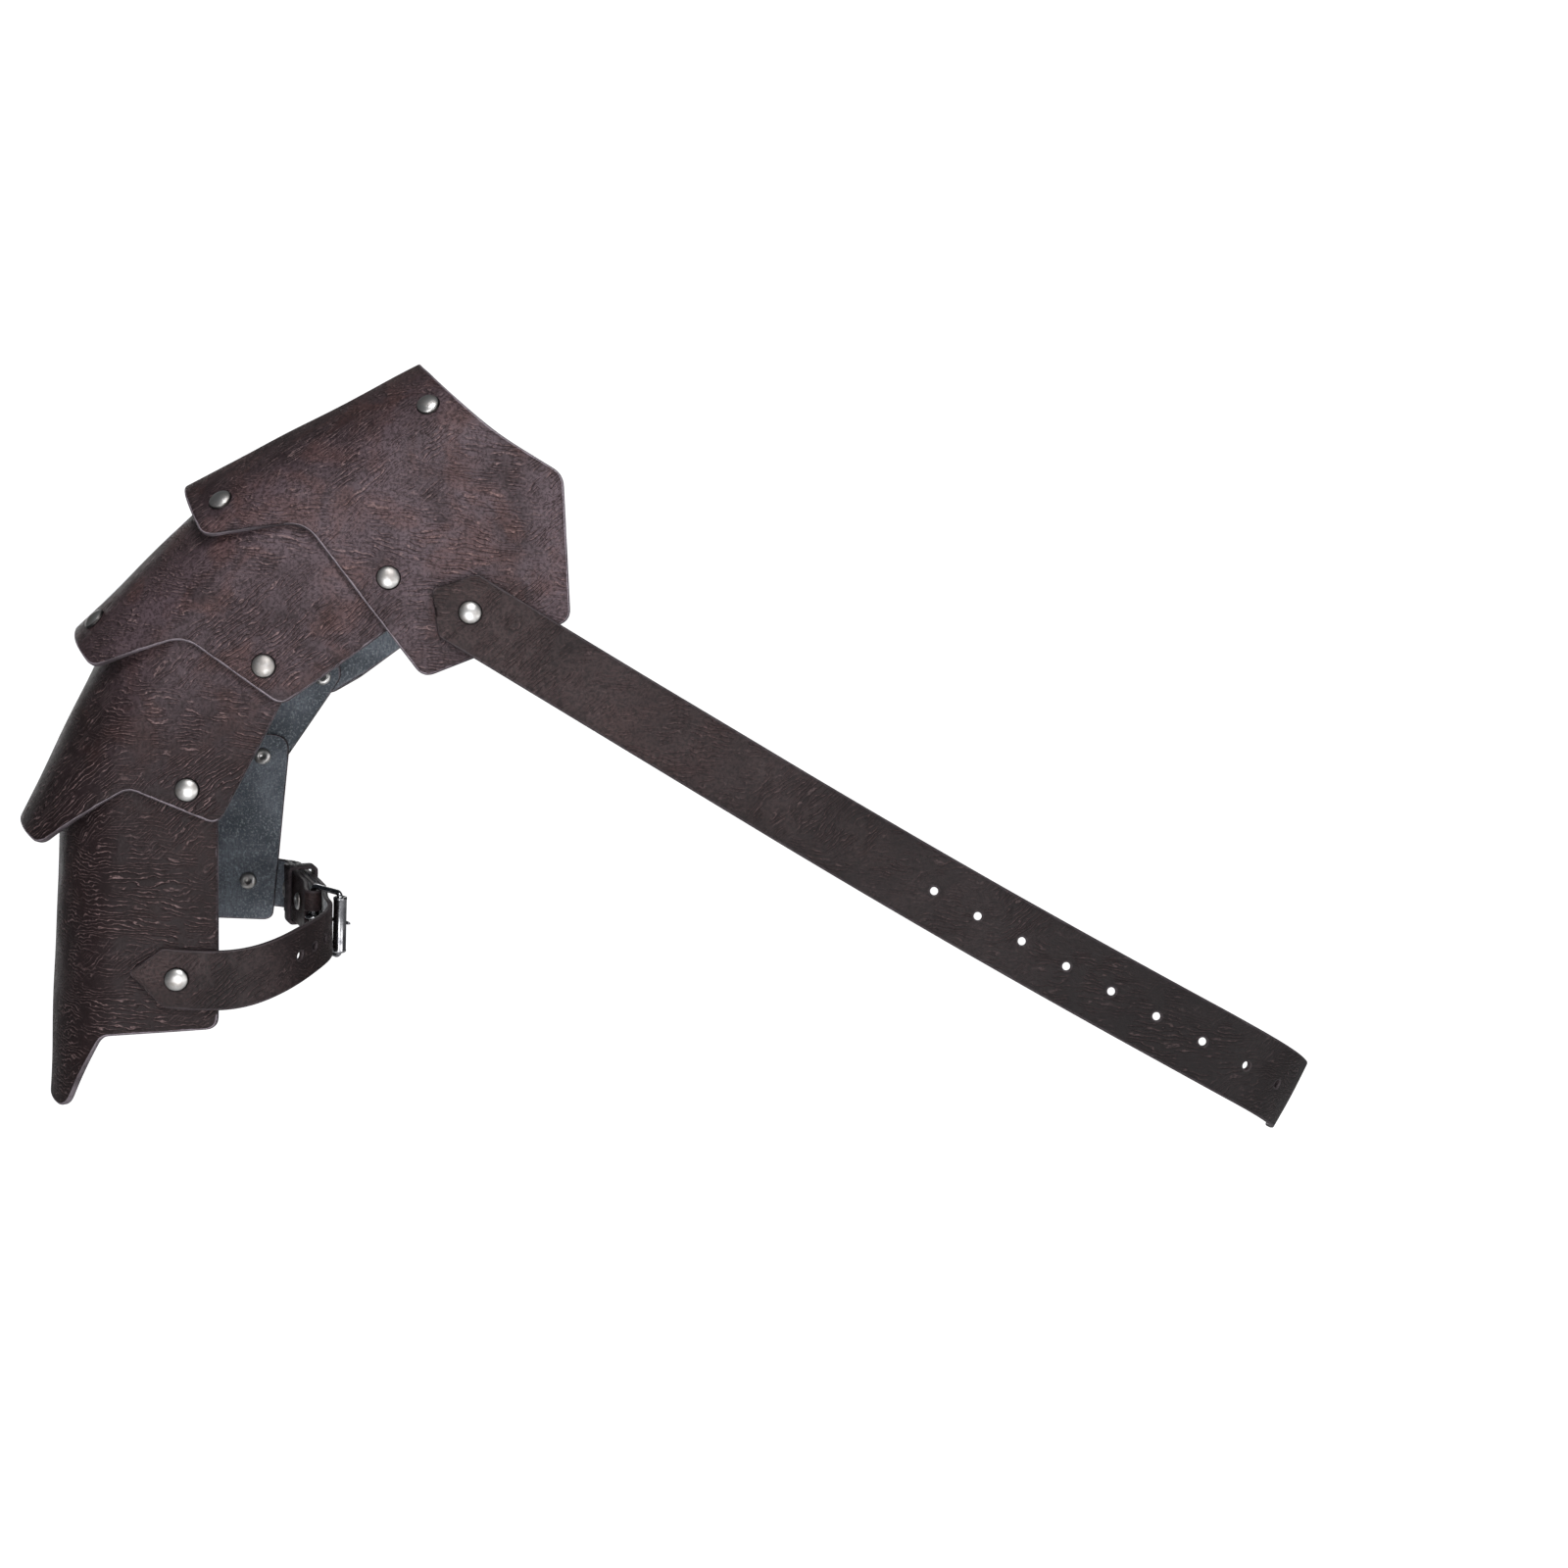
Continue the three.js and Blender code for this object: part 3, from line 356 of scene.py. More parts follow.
def chest_table():
    """Centre line of the chest strap every TABLE_STEP, by summing its direction along its length."""
    at = np.arange(CHEST_TIPS[0], CHEST_TIPS[3] + TABLE_STEP, TABLE_STEP)
    ease, ease_from, ease_to = CHEST_EASE
    swing, swing_from, swing_to = CHEST_SWING
    fall = np.radians(CHEST_FALL - ease * np.clip((at - ease_from) / (ease_to - ease_from), 0, 1))
    turn = np.radians(swing) * np.clip((at - swing_from) / (swing_to - swing_from), 0, 1)
    turn = turn - np.maximum(0, (at - CHEST_CURL[0]) / CHEST_CURL[1])
    zero = np.zeros_like(at)
    along = np.stack([np.cos(fall), zero, -np.sin(fall)], 1)
    forward = np.array([[0.0, -1.0, 0.0]])
    run = along * np.cos(turn)[:, None] + forward * np.sin(turn)[:, None]
    outward = forward * np.cos(turn)[:, None] - along * np.sin(turn)[:, None]
    across = np.stack([np.sin(fall), zero, np.cos(fall)], 1)
    steps = (run[1:] + run[:-1]) / 2 * np.diff(at)[:, None]
    centre = np.vstack([np.zeros((1, 3)), np.cumsum(steps, 0)])
    seat = -(LAMES["top_lame"]["half_width"] + GAP + CHEST_WALL / 2)
    root = np.array([CHEST_ROOT[0], seat, CHEST_ROOT[1]])
    centre = centre - [np.interp(0, at, centre[:, i]) for i in range(3)] + root
    droop, droop_from = CHEST_DROOP
    centre[:, 2] -= droop * (np.maximum(0, at - droop_from) / (CHEST_TIPS[3] - droop_from)) ** 2
    return at, centre, across, outward


def loop_frames(at, offset=0.0):
    """Place on the straps' loop: arcs and straights summed from their headings, moved outwards by offset."""
    at = np.atleast_1d(np.asarray(at, float))
    fine = np.arange(0, LOOP_END + LOOP_STEP, LOOP_STEP)
    ends = summed([length for length, _ in LOOP])
    headings = np.radians(summed([turn for _, turn in LOOP]))
    heading = np.interp(fine, ends, headings)
    middle = (heading[1:] + heading[:-1]) / 2
    x = LOOP_START[0] + summed(np.cos(middle) * LOOP_STEP)
    y = LOOP_START[1] + summed(np.sin(middle) * LOOP_STEP)
    dip, dip_at, dip_reach = LOOP_DIP
    tip, tip_reach = LOOP_TIP
    raised, raise_from, raise_to = LOOP_RAISE
    level = LOOP_LEVEL[0] + LOOP_RISE * (at - LOOP_LEVEL[1])
    level = level - dip * np.exp(-((at - dip_at) / dip_reach) ** 2)
    level = level + tip * (np.maximum(0, tip_reach - at) / tip_reach) ** 2
    level = level + raised * smooth(at, raise_from, raise_to)
    turn = np.interp(at, fine, heading)
    zero = np.zeros_like(turn)
    outward = np.stack([np.sin(turn), -np.cos(turn), zero], 1)
    along = unit(np.stack([np.cos(turn), np.sin(turn), zero + LOOP_RISE], 1))
    centre = np.stack([np.interp(at, fine, x), np.interp(at, fine, y), level], 1)
    centre = centre + outward * np.reshape(offset, (-1, 1))
    return centre, along, outward, np.cross(outward, along)


def loop_frame(at, offset=0.0):
    """The loop's place and directions at one distance along it."""
    return tuple(part[0] for part in loop_frames(at, offset))


def arm_table():
    """The loop lifted outwards past the roller, with its outward direction from its own run."""
    at = np.arange(0, ARM_END, TABLE_STEP)
    lift, lift_from, lift_to = ARM_LIFT
    centre = loop_frames(at, lift * smooth(at, lift_from, lift_to))[0]
    run = np.gradient(centre, axis=0)
    outward = unit(np.stack([run[:, 1], -run[:, 0], np.zeros(len(at))], 1))
    widest, narrowing, narrow_from, narrow_to = ARM_TAPER
    width = math.hypot(1, LOOP_RISE) * (widest - narrowing * smooth(at, narrow_from, narrow_to))
    return at, centre, width[:, None] * [[0.0, 0.0, 1.0]], outward


def ply_table():
    """Back lobe to bar on the loop, half a turn round the bar, then back inside itself."""
    outer = np.arange(PLY_END, BAR_AT, -TABLE_STEP)
    centre, _, outward, up = loop_frames(outer)
    upright = np.tile([0.0, 0.0, 1.0], (len(outer), 1)) * math.hypot(1, LOOP_RISE)
    square = smooth(-outer, -PLY_SQUARE[1], -PLY_SQUARE[0])[:, None]
    across = upright + (up - upright) * square
    bar, along, out, bar_up = loop_frame(BAR_AT, -PLY_RADIUS)
    turn = np.linspace(0, math.pi, 24)[1:-1, None]
    fold_out = out * np.cos(turn) - along * np.sin(turn)
    fold = bar + fold_out * PLY_RADIUS
    inner = np.arange(BAR_AT, PLY_INNER_END + TABLE_STEP, TABLE_STEP)
    offset = -2 * PLY_RADIUS + (2 * PLY_RADIUS - PLY_CLOSED) * smooth(inner, BAR_AT, BAR_AT + PLY_CLOSING)
    back, back_along, back_out, back_up = loop_frames(inner, offset)
    slant = np.gradient(offset, TABLE_STEP)[:, None]
    centre = np.vstack([centre, fold, back])
    across = np.vstack([across, np.tile(bar_up, (len(fold), 1)), back_up])
    outward = np.vstack([outward, fold_out, -unit(back_out - back_along * slant)])
    run = summed(np.linalg.norm(np.diff(centre, axis=0), axis=1))
    return run, centre, across, outward


def strap_bend(table, wall):
    """Centre line plus the place across, plus the outward direction times the height in the wall."""
    at, centre, across, outward = table

    def look(values, where):
        return np.stack([np.interp(where, at, values[:, i]) for i in range(3)], 1)

    def bend(pattern, inset):
        where = pattern[:, 0]
        raised = unit(look(outward, where)) * (wall / 2 - inset)
        return look(centre, where) + look(across, where) * pattern[:, 1:] + raised
    return bend


# ---- the rivets' seats, and the gentle unevenness shared by pieces that lie on each other ----


def rivet_seats():
    """Every rivet's seat on the outer face, its outward direction, grip and cap height."""
    seats = {}
    for name, (front_x, back_x, z, outer, inner) in LOBE_RIVETS.items():
        half, under = LAMES[outer]["half_width"], LAMES[inner]["half_width"]
        for side, end, x in ((-1, "front", front_x), (1, "back", back_x)):
            seat = lean(np.array([x, side * float(half), z]))
            grip = half - under + LAME_WALL
            seats[f"{name}_{end}"] = (seat, np.array([0.0, side, 0.0]), grip, CAP_HEIGHT)
    for name, (lame, along, around) in EDGE_RIVETS.items():
        for side, end in ((-1, "front"), (1, "back")):
            seat, outward = lame_spot(LAMES[lame], along, side * around)
            seats[f"{name}_{end}"] = (seat, outward, LAME_WALL, CAP_HEIGHT)
    front = np.array([0.0, -1.0, 0.0])
    top = LAMES["top_lame"]["half_width"] + GAP + CHEST_WALL
    root = np.array([CHEST_ROOT[0], -top, CHEST_ROOT[1]])
    seats["chest_strap_rivet"] = (root, front, LAME_WALL + GAP + CHEST_WALL, CAP_HEIGHT)
    centre, _, outward, _ = loop_frame(FRONT_RIVET_AT, ARM_WALL / 2)
    arm = LAMES["arm_lame"]["half_width"]
    seats["arm_strap_rivet"] = (centre, outward, -centre[1] - arm + LAME_WALL, CAP_HEIGHT)
    centre, _, outward, _ = loop_frame(BACK_RIVET_AT, PLY_WALL / 2)
    seats["buckle_strap_rivet"] = (centre, outward, centre[1] - arm + LAME_WALL, CAP_HEIGHT)
    for i, at in enumerate(FOLD_RIVETS_AT):
        centre, _, outward, _ = loop_frame(at, PLY_WALL / 2)
        seats[f"fold_rivet_{i + 1}"] = (centre, outward, 2 * PLY_WALL + GAP, LOW_CAP_HEIGHT)
    return seats


SEATS = rivet_seats()
WAVE_WAYS = np.random.default_rng(WAVE_SEED).uniform(-1, 1, (WAVES, 3))


def unevenness(points):
    """Sum of WAVES slow sine waves in space, minus a soft dimple about each rivet's axis."""
    lengths = np.linspace(*WAVE_LENGTHS, WAVES)[:, None]
    ways = unit(WAVE_WAYS) / lengths * 2 * math.pi
    height = np.sin(points @ ways.T + np.arange(WAVES) * WAVE_SHIFT).sum(1) * WAVE_HEIGHT
    for seat, outward, _, _ in SEATS.values():
        apart = points - seat
        axial = apart @ outward
        radial = np.linalg.norm(apart - axial[:, None] * outward, axis=1)
        near = np.exp(-(radial / DIMPLE_RADIUS) ** 2) * (np.abs(axial) < DIMPLE_REACH)
        height = height - DIMPLE_DEPTH * near
    return height


# ---- meshes ----


def ring_faces(index):
    """Quads between the rows of a grid whose rows close on themselves."""
    after = np.roll(index, -1, 1)
    return np.stack([index[:-1], after[:-1], after[1:], index[1:]], -1).reshape(-1, 4)


def kept_points(faces):
    """The points that the faces use, and the faces numbered by them."""
    used = np.unique(faces)
    renumber = np.full(used[-1] + 1, -1)
    renumber[used] = np.arange(len(used))
    return used, renumber[faces]


def boundary(faces):
    """Directed edges that only one face has."""
    edges = np.vstack([faces[:, [i, (i + 1) % 4]] for i in range(4)])
    key = edges.min(1).astype(np.int64) * (faces.max() + 1) + edges.max(1)
    _, first, count = np.unique(key, return_index=True, return_counts=True)
    return edges[first[count == 1]]


def distance_to(points, rim):
    """Shortest distance from each point to the rim's points, worked out in blocks."""
    blocks = [np.sqrt(((part[:, None] - rim[None]) ** 2).sum(2).min(1))
              for part in np.array_split(points, max(1, len(points) // 1500))]
    return np.concatenate(blocks)


def signed_volume(points, faces):
    """Sum over the faces of a . (b x c) / 6, each quad taken as two triangles."""
    a, b, c, d = (points[faces[:, i]] for i in range(4))
    return ((a * np.cross(b, c)).sum() + (a * np.cross(c, d)).sum()) / 6


def build_mesh(name, points, faces, materials, kinds, edge=None):
    """Object from points in millimetres and quads (a repeated last corner makes a triangle)."""
    if signed_volume(points, faces) < 0:
        faces = faces[:, ::-1]
    loops = [face[:3] if face[3] == face[2] else face for face in faces.tolist()]
    loops = [face[1:] if len(face) == 4 and face[0] == face[1] else face for face in loops]
    mesh = bpy.data.meshes.new(name)
    mesh.from_pydata((points * MM).tolist(), [], loops)
    mesh.polygons.foreach_set("material_index", kinds.astype(np.int32))
    mesh.polygons.foreach_set("use_smooth", np.ones(len(faces), bool))
    for material in materials:
        mesh.materials.append(material)
    away = mesh.attributes.new("from_edge", "FLOAT", "POINT")
    away.data.foreach_set("value", np.full(len(points), 99.0) if edge is None else edge)
    mesh.validate()
    obj = bpy.data.objects.new(name, mesh)
    bpy.context.scene.collection.objects.link(obj)
    return obj


def leather_sheet(name, pattern, faces, bend, wall, materials):
    """A wall of leather: the pattern bent at its outer and inner face, joined by a rounded rim.

    The rim is two quarter circles of RIM_ROUNDING, with the cut edge's flat between them."""
    edges = boundary(faces)
    run = pattern[edges[:, 1]] - pattern[edges[:, 0]]
    inward = np.zeros_like(pattern)
    side = unit(np.stack([-run[:, 1], run[:, 0]], 1) + 1e-12)
    np.add.at(inward, edges[:, 0], side)
    np.add.at(inward, edges[:, 1], side)
    rim = np.unique(edges)
    inward[rim] = unit(inward[rim] + 1e-12)
    away = distance_to(pattern, pattern[rim])
    inset_pattern = pattern + inward * RIM_ROUNDING
    count = len(pattern)
    slot_of = np.full(count, -1)
    slot_of[rim] = np.arange(len(rim))
    levels = [(1 - math.sin(a), 1 - math.cos(a)) for a in (math.pi / 4, math.pi / 2)]
    rows = [(part * RIM_ROUNDING, depth * RIM_ROUNDING) for part, depth in levels]
    rows += [(part, wall - depth) for part, depth in rows[::-1]]
    layers, depths = [inset_pattern], [np.zeros(count)]
    for part, depth in rows:
        layers.append(pattern[rim] + inward[rim] * part)
        depths.append(np.full(len(rim), depth))
    layers.append(inset_pattern)
    depths.append(np.full(count, wall))
    flat, depth = np.vstack(layers), np.concatenate(depths)
    outer = bend(flat, 0.0)
    inner = bend(flat, wall)
    share = (depth / wall)[:, None]
    points = outer + (inner - outer) * share
    points = points + unit(outer - inner) * unevenness((outer + inner) / 2)[:, None]
    size = len(rim)
    starts = [0] + [count + size * i for i in range(len(rows))] + [count + size * len(rows)]
    columns = [edges] + [slot_of[edges] + start for start in starts[1:-1]] + [edges + starts[-1]]
    walls = [np.stack([upper[:, 1], upper[:, 0], lower[:, 0], lower[:, 1]], 1)
             for upper, lower in zip(columns[:-1], columns[1:])]
    quads = np.vstack([faces, faces[:, ::-1] + starts[-1], *walls])
    kinds = np.concatenate([np.zeros(len(faces)), np.full(len(faces), 2), np.ones(len(np.vstack(walls)))])
    edge = np.concatenate([away, np.zeros(size * len(rows)), away])
    used, quads = kept_points(quads)
    return build_mesh(name, points[used], quads, materials, kinds, edge[used])


def grid_faces(rows, columns):
    """Quads of a grid numbered row by row."""
    index = np.arange(rows * columns).reshape(rows, columns)
    return np.stack([index[:-1, :-1], index[1:, :-1], index[1:, 1:], index[:-1, 1:]], -1).reshape(-1, 4)


def lame_pattern(lame, step):
    """Rows round the bend and columns from the lower to the upper edge, closer together at both edges."""
    front, back = (chain_marks(*chains, step) for chains in lame["chains"])
    around = np.concatenate([-front[:0:-1], back])
    low, high = lame_edges(lame, around)
    inner = np.linspace(0, 1, LAME_COLUMNS + 2)[1:-1]
    width = (high - low)[:, None]
    near, next_in = (np.minimum(most, width * share) for most, share in (NEAR_COLUMN, NEXT_COLUMN))
    share = np.hstack([0 * width, near, next_in, next_in + (width - 2 * next_in) * inner[None],
                       width - next_in, width - near, width])
    along = low[:, None] + share
    pattern = np.stack([np.broadcast_to(around[:, None], along.shape), along], -1)
    return pattern.reshape(-1, 2), grid_faces(*along.shape)


def strap_marks(start, end, holes):
    """Rows along a strap: even steps, with each hole in the middle of a block of equal cells."""
    marks, at = [], start
    for hole, half in holes:
        reach = HOLE_BLOCK / 2 + half
        stop = hole - reach
        count = max(1, round((stop - at) / STRAP_STEP))
        marks += [np.linspace(at, stop, count + 1)[:-1], np.linspace(stop, hole + reach, HOLE_CELLS + 1)[:-1]]
        at = hole + reach
    marks.append(np.linspace(at, end, max(1, round((end - at) / STRAP_STEP)) + 1))
    return np.concatenate(marks)


def strap_pattern(tips, width, holes, hole_radius):
    """A strap's flat outline with its punched holes, each hole a ring of cells inside a square block.

    holes lists the place along the strap and the half length of the hole's straight part."""
    block, cells, rings = HOLE_BLOCK, HOLE_CELLS, HOLE_RINGS
    start, shoulder, end_shoulder, end = tips
    rows = strap_marks(start, end, holes)
    half = width / 2
    middle = np.linspace(-block / 2, block / 2, cells + 1)
    spare = half - SIDE_RIM - block / 2
    margin = np.append(block / 2 + spare * np.arange(1, SIDE_COLUMNS + 1) / SIDE_COLUMNS, half)
    columns = np.concatenate([-margin[::-1], middle, margin]) / half
    nose = np.clip((rows - start) / (shoulder - start), 0, 1) if shoulder > start else np.ones(len(rows))
    tail = np.clip((end - rows) / (end - end_shoulder), 0, 1) if end > end_shoulder else np.ones(len(rows))
    widths = TIP_HALF + (half - TIP_HALF) * np.minimum(nose, tail)
    pattern = np.stack(np.broadcast_arrays(rows[:, None], widths[:, None] * columns[None]), -1)
    index = np.arange(len(rows) * len(columns)).reshape(len(rows), len(columns))
    keep = np.ones((len(rows) - 1, len(columns) - 1), bool)
    left = len(margin)
    points, faces, total = [pattern.reshape(-1, 2)], [], index.size
    for hole, straight in holes:
        i = int(np.argmin(np.abs(rows - (hole - block / 2 - straight))))
        keep[i:i + cells, left:left + cells] = False
        part = index[i:i + cells + 1, left:left + cells + 1]
        ring = np.concatenate([part[:-1, 0], part[-1, :-1], part[:0:-1, -1], part[0, :0:-1]])
        outer = pattern.reshape(-1, 2)[ring]
        centre = np.array([hole, 0.0])
        core = centre + np.stack([np.clip(outer[:, 0] - hole, -straight, straight), 0 * outer[:, 1]], 1)
        inner = core + unit(outer - core) * hole_radius
        share = np.linspace(0, 1, rings + 1)[1:, None, None]
        rows_in = outer + (inner - outer) * share
        points.append(rows_in.reshape(-1, 2))
        numbers = np.vstack([ring, total + np.arange(rings * len(ring)).reshape(rings, -1)])
        total += rings * len(ring)
        faces.append(ring_faces(numbers))
    cells_kept = grid_faces(*index.shape).reshape(len(rows) - 1, len(columns) - 1, 4)[keep]
    used, faces = kept_points(np.vstack([cells_kept, *faces]))
    return np.vstack(points)[used], faces


def lathe(profile, segments):
    """A profile of (radius, height) turned about the height axis, its ends on the axis."""
    profile = np.array(profile, float)
    angle = np.arange(segments) * 2 * math.pi / segments
    radius, height = profile[:, :1], profile[:, 1:]
    points = np.stack(np.broadcast_arrays(radius * np.cos(angle), height + 0 * angle,
                                          radius * np.sin(angle)), -1)
    index = np.arange(len(profile) * segments).reshape(len(profile), segments)
    after = np.roll(index, -1, 1)
    faces = np.stack([index[:-1], index[1:], after[1:], after[:-1]], -1)
    return points, faces


def closed_at_poles(points, faces):
    """The first and last row of a lathe become single points and their quads triangles."""
    rows, segments = points.shape[:2]
    flat = np.vstack([points[0, :1], points[1:-1].reshape(-1, 3), points[-1, :1]])
    between = 1 + np.arange((rows - 2) * segments).reshape(-1, segments)
    number = np.vstack([np.zeros((1, segments), int), between, np.full((1, segments), between[-1, -1] + 1)])
    faces = number.reshape(-1)[faces.reshape(-1, 4)]
    top = faces[:, 0] == faces[:, 3]
    faces[top] = faces[top][:, [1, 2, 0, 0]]
    bottom = faces[:, 1] == faces[:, 2]
    faces[bottom] = faces[bottom][:, [0, 1, 3, 3]]
    return flat, faces


def turned_to(points, seat, outward):
    """Points built about the second axis, turned so that it lies along outward, and moved to the seat."""
    side = unit(np.cross(outward, [0.31, 0.17, 0.93]))
    third = np.cross(side, outward)
    return seat + points[..., :1] * side + points[..., 1:2] * outward + points[..., 2:] * third


def tube(path, radii, closed=False, segments=16, up=(0.0, 0.0, 1.0)):
    """A round section carried along a path, its frame kept square to the path and to one direction."""
    path = np.asarray(path, float)
    if closed:
        run = np.roll(path, -1, 0) - np.roll(path, 1, 0)
    else:
        run = np.gradient(path, axis=0)
    run = unit(run)
    side = unit(np.cross(run, up))
    lift = np.cross(side, run)
    angle = np.arange(segments) * 2 * math.pi / segments
    ring = side[:, None] * np.cos(angle)[:, None] + lift[:, None] * np.sin(angle)[:, None]
    points = path[:, None] + ring * np.reshape(radii, (-1, 1, 1))
    rows = len(path)
    index = np.arange(rows * segments).reshape(rows, segments)
    if closed:
        index = np.vstack([index, index[:1]])
    faces = ring_faces(index)
    points = points.reshape(-1, 3)
    if not closed:
        after = np.roll(index, -1, 1)
        caps = len(points) + np.arange(2)
        points = np.vstack([points, path[:1], path[-1:]])
        first = np.stack([np.full(segments, caps[0]), after[0], index[0], index[0]], 1)
        final = np.stack([np.full(segments, caps[1]), index[-1], after[-1], after[-1]], 1)
        faces = np.vstack([faces, first, final])
    return points, faces


# ---- shader helpers ----


def add(tree, kind, inputs=(), **settings):
    """A node with its settings and inputs; an input is a value or another node's socket."""
    node = tree.nodes.new(kind)
    for name, value in settings.items():
        setattr(node, name, value)
    for name, value in dict(inputs).items():
        if isinstance(value, bpy.types.NodeSocket):
            tree.links.new(value, node.inputs[name])
        else:
            node.inputs[name].default_value = value
    return node


def blend(tree, factor, low, high):
    """A colour mix of two colours or sockets."""
    return add(tree, "ShaderNodeMix", {0: factor, 6: low, 7: high}, data_type="RGBA").outputs[2]


def ramp(tree, value, low, high, start=0.0, end=1.0):
    """An eased ramp from low..high to start..end, held at both ends."""
    inputs = {0: value, 1: low, 2: high, 3: start, 4: end}
    return add(tree, "ShaderNodeMapRange", inputs, interpolation_type="SMOOTHSTEP").outputs[0]


def maths(tree, operation, first, second):
    """One sum of two values or sockets."""
    return add(tree, "ShaderNodeMath", {0: first, 1: second}, operation=operation).outputs[0]


def times(tree, first, second):
    """The product of two values or sockets."""
    return maths(tree, "MULTIPLY", first, second)


def noise(tree, place, scale, detail, **more):
    """Cloudy noise between 0 and 1 over the given coordinates."""
    inputs = {"Vector": place, "Scale": scale, "Detail": detail, **more}
    return add(tree, "ShaderNodeTexNoise", inputs).outputs["Fac"]


def edge_distance(tree):
    """The distance to the nearest cut edge in millimetres, kept on the mesh."""
    kept = add(tree, "ShaderNodeAttribute", attribute_name="from_edge", attribute_type="GEOMETRY")
    return kept.outputs["Fac"]


def colour(rgb):
    """A colour with full alpha."""
    return (*rgb, 1.0)


def new_group(name, inputs, outputs):
    """An empty shader node group with named float sockets."""
    group = bpy.data.node_groups.new(name, "ShaderNodeTree")
    for label, kind, value in inputs:
        socket = group.interface.new_socket(label, in_out="INPUT", socket_type=kind)
        if value is not None:
            socket.default_value = value
    for label in outputs:
        group.interface.new_socket(label, in_out="OUTPUT", socket_type="NodeSocketFloat")
    return group, add(group, "NodeGroupInput"), add(group, "NodeGroupOutput")


def wrinkle_lines(group, place, spacing, turn, seed):
    """Long fine folds: bands across one direction, bent and frayed by noise; crest and foot side by side."""
    turned = add(group, "ShaderNodeMapping", {"Vector": place, "Rotation": (0.0, turn, 0.0),
                                              "Location": (seed, seed, seed)}).outputs[0]
    stretched = add(group, "ShaderNodeMapping", {"Vector": turned, "Scale": (0.35, 1.0, 1.0)}).outputs[0]
    bend = times(group, noise(group, stretched, 75.0, 2.0, Roughness=0.5), 7.0)
    fray = times(group, noise(group, stretched, 420.0, 2.0), 2.2)
    across = times(group, add(group, "ShaderNodeSeparateXYZ", {0: turned}).outputs["Z"], 1.0 / spacing)
    band = maths(group, "FRACT", maths(group, "ADD", across, maths(group, "ADD", bend, fray)), 0.0)
    crest = maths(group, "ABSOLUTE", maths(group, "SUBTRACT", band, 0.5), 0.0)
    foot = maths(group, "ABSOLUTE", maths(group, "SUBTRACT", band, 0.24), 0.0)
    return ramp(group, crest, 0.02, 0.14, 1.0, 0.0), ramp(group, foot, 0.02, 0.2, 1.0, 0.0)


def leather_grain_group():
    """Wrinkles in two directions that come and go in patches, over a fine pebbled grain.

    Outputs the lit crests, their dark feet, the height for a bump and the fine grain on its own."""
    group, start, end = new_group("Leather grain", [
        ("Vector", "NodeSocketVector", None), ("Amount", "NodeSocketFloat", 1.0)],
        ["Crests", "Feet", "Height", "Grain"])
    place = start.outputs["Vector"]
    patches = noise(group, place, 24.0, 3.0)
    broken = noise(group, place, 120.0, 3.0, Roughness=0.6)
    long_ones = wrinkle_lines(group, place, 0.0017, -0.12, 0.0)
    short_ones = wrinkle_lines(group, place, 0.0015, 0.7, 0.3)
    masks = (times(group, ramp(group, patches, 0.42, 0.56), ramp(group, broken, 0.38, 0.56)),
             times(group, ramp(group, patches, 0.53, 0.41), ramp(group, broken, 0.62, 0.44)))
    crests, feet = (
        times(group, maths(group, "MAXIMUM", times(group, first, masks[0]), times(group, second, masks[1])),
              start.outputs["Amount"])
        for first, second in zip(long_ones, short_ones))
    grain = noise(group, place, 760.0, 3.0, Roughness=0.65)
    raised = maths(group, "SUBTRACT", times(group, crests, 0.75), times(group, feet, 0.5))
    height = maths(group, "ADD", raised, times(group, grain, 0.6))
    for value, name in ((crests, "Crests"), (feet, "Feet"), (height, "Height"), (grain, "Grain")):
        group.links.new(value, end.inputs[name])
    return group


def edge_wear_group():
    """Line and wider wear along a cut edge: the distance kept on the mesh, its reach broken up by noise."""
    group, start, end = new_group("Edge wear", [
        ("Vector", "NodeSocketVector", None), ("Width", "NodeSocketFloat", 1.6)], ["Line", "Wear"])
    uneven = noise(group, start.outputs["Vector"], 160.0, 3.0)
    reach = times(group, start.outputs["Width"], ramp(group, uneven, 0.3, 0.7, 0.55, 1.4))
    share = maths(group, "DIVIDE", edge_distance(group), reach)
    group.links.new(ramp(group, share, 0.25, 1.0, 1.0, 0.0), end.inputs["Line"])
    group.links.new(ramp(group, share, 0.5, 4.0, 1.0, 0.0), end.inputs["Wear"])
    return group


def place_group(tree, group, inputs):
    """A node group placed in a material with its own values."""
    return add(tree, "ShaderNodeGroup", inputs, node_tree=group)


def new_material(name, **constants):
    """A material with its Principled shader's constants set."""
    material = bpy.data.materials.new(name)
    material.use_nodes = True
    tree = material.node_tree
    shader = tree.nodes["Principled BSDF"]
    for label, value in constants.items():
        shader.inputs[label.replace("_", " ")].default_value = value
    place = add(tree, "ShaderNodeTexCoord").outputs["Object"]
    return material, tree, shader, place


def bump(tree, height, strength, distance):
    """A bump from a height in the range 0 to 1."""
    inputs = {"Height": height, "Strength": strength, "Distance": distance}
    return add(tree, "ShaderNodeBump", inputs).outputs[0]


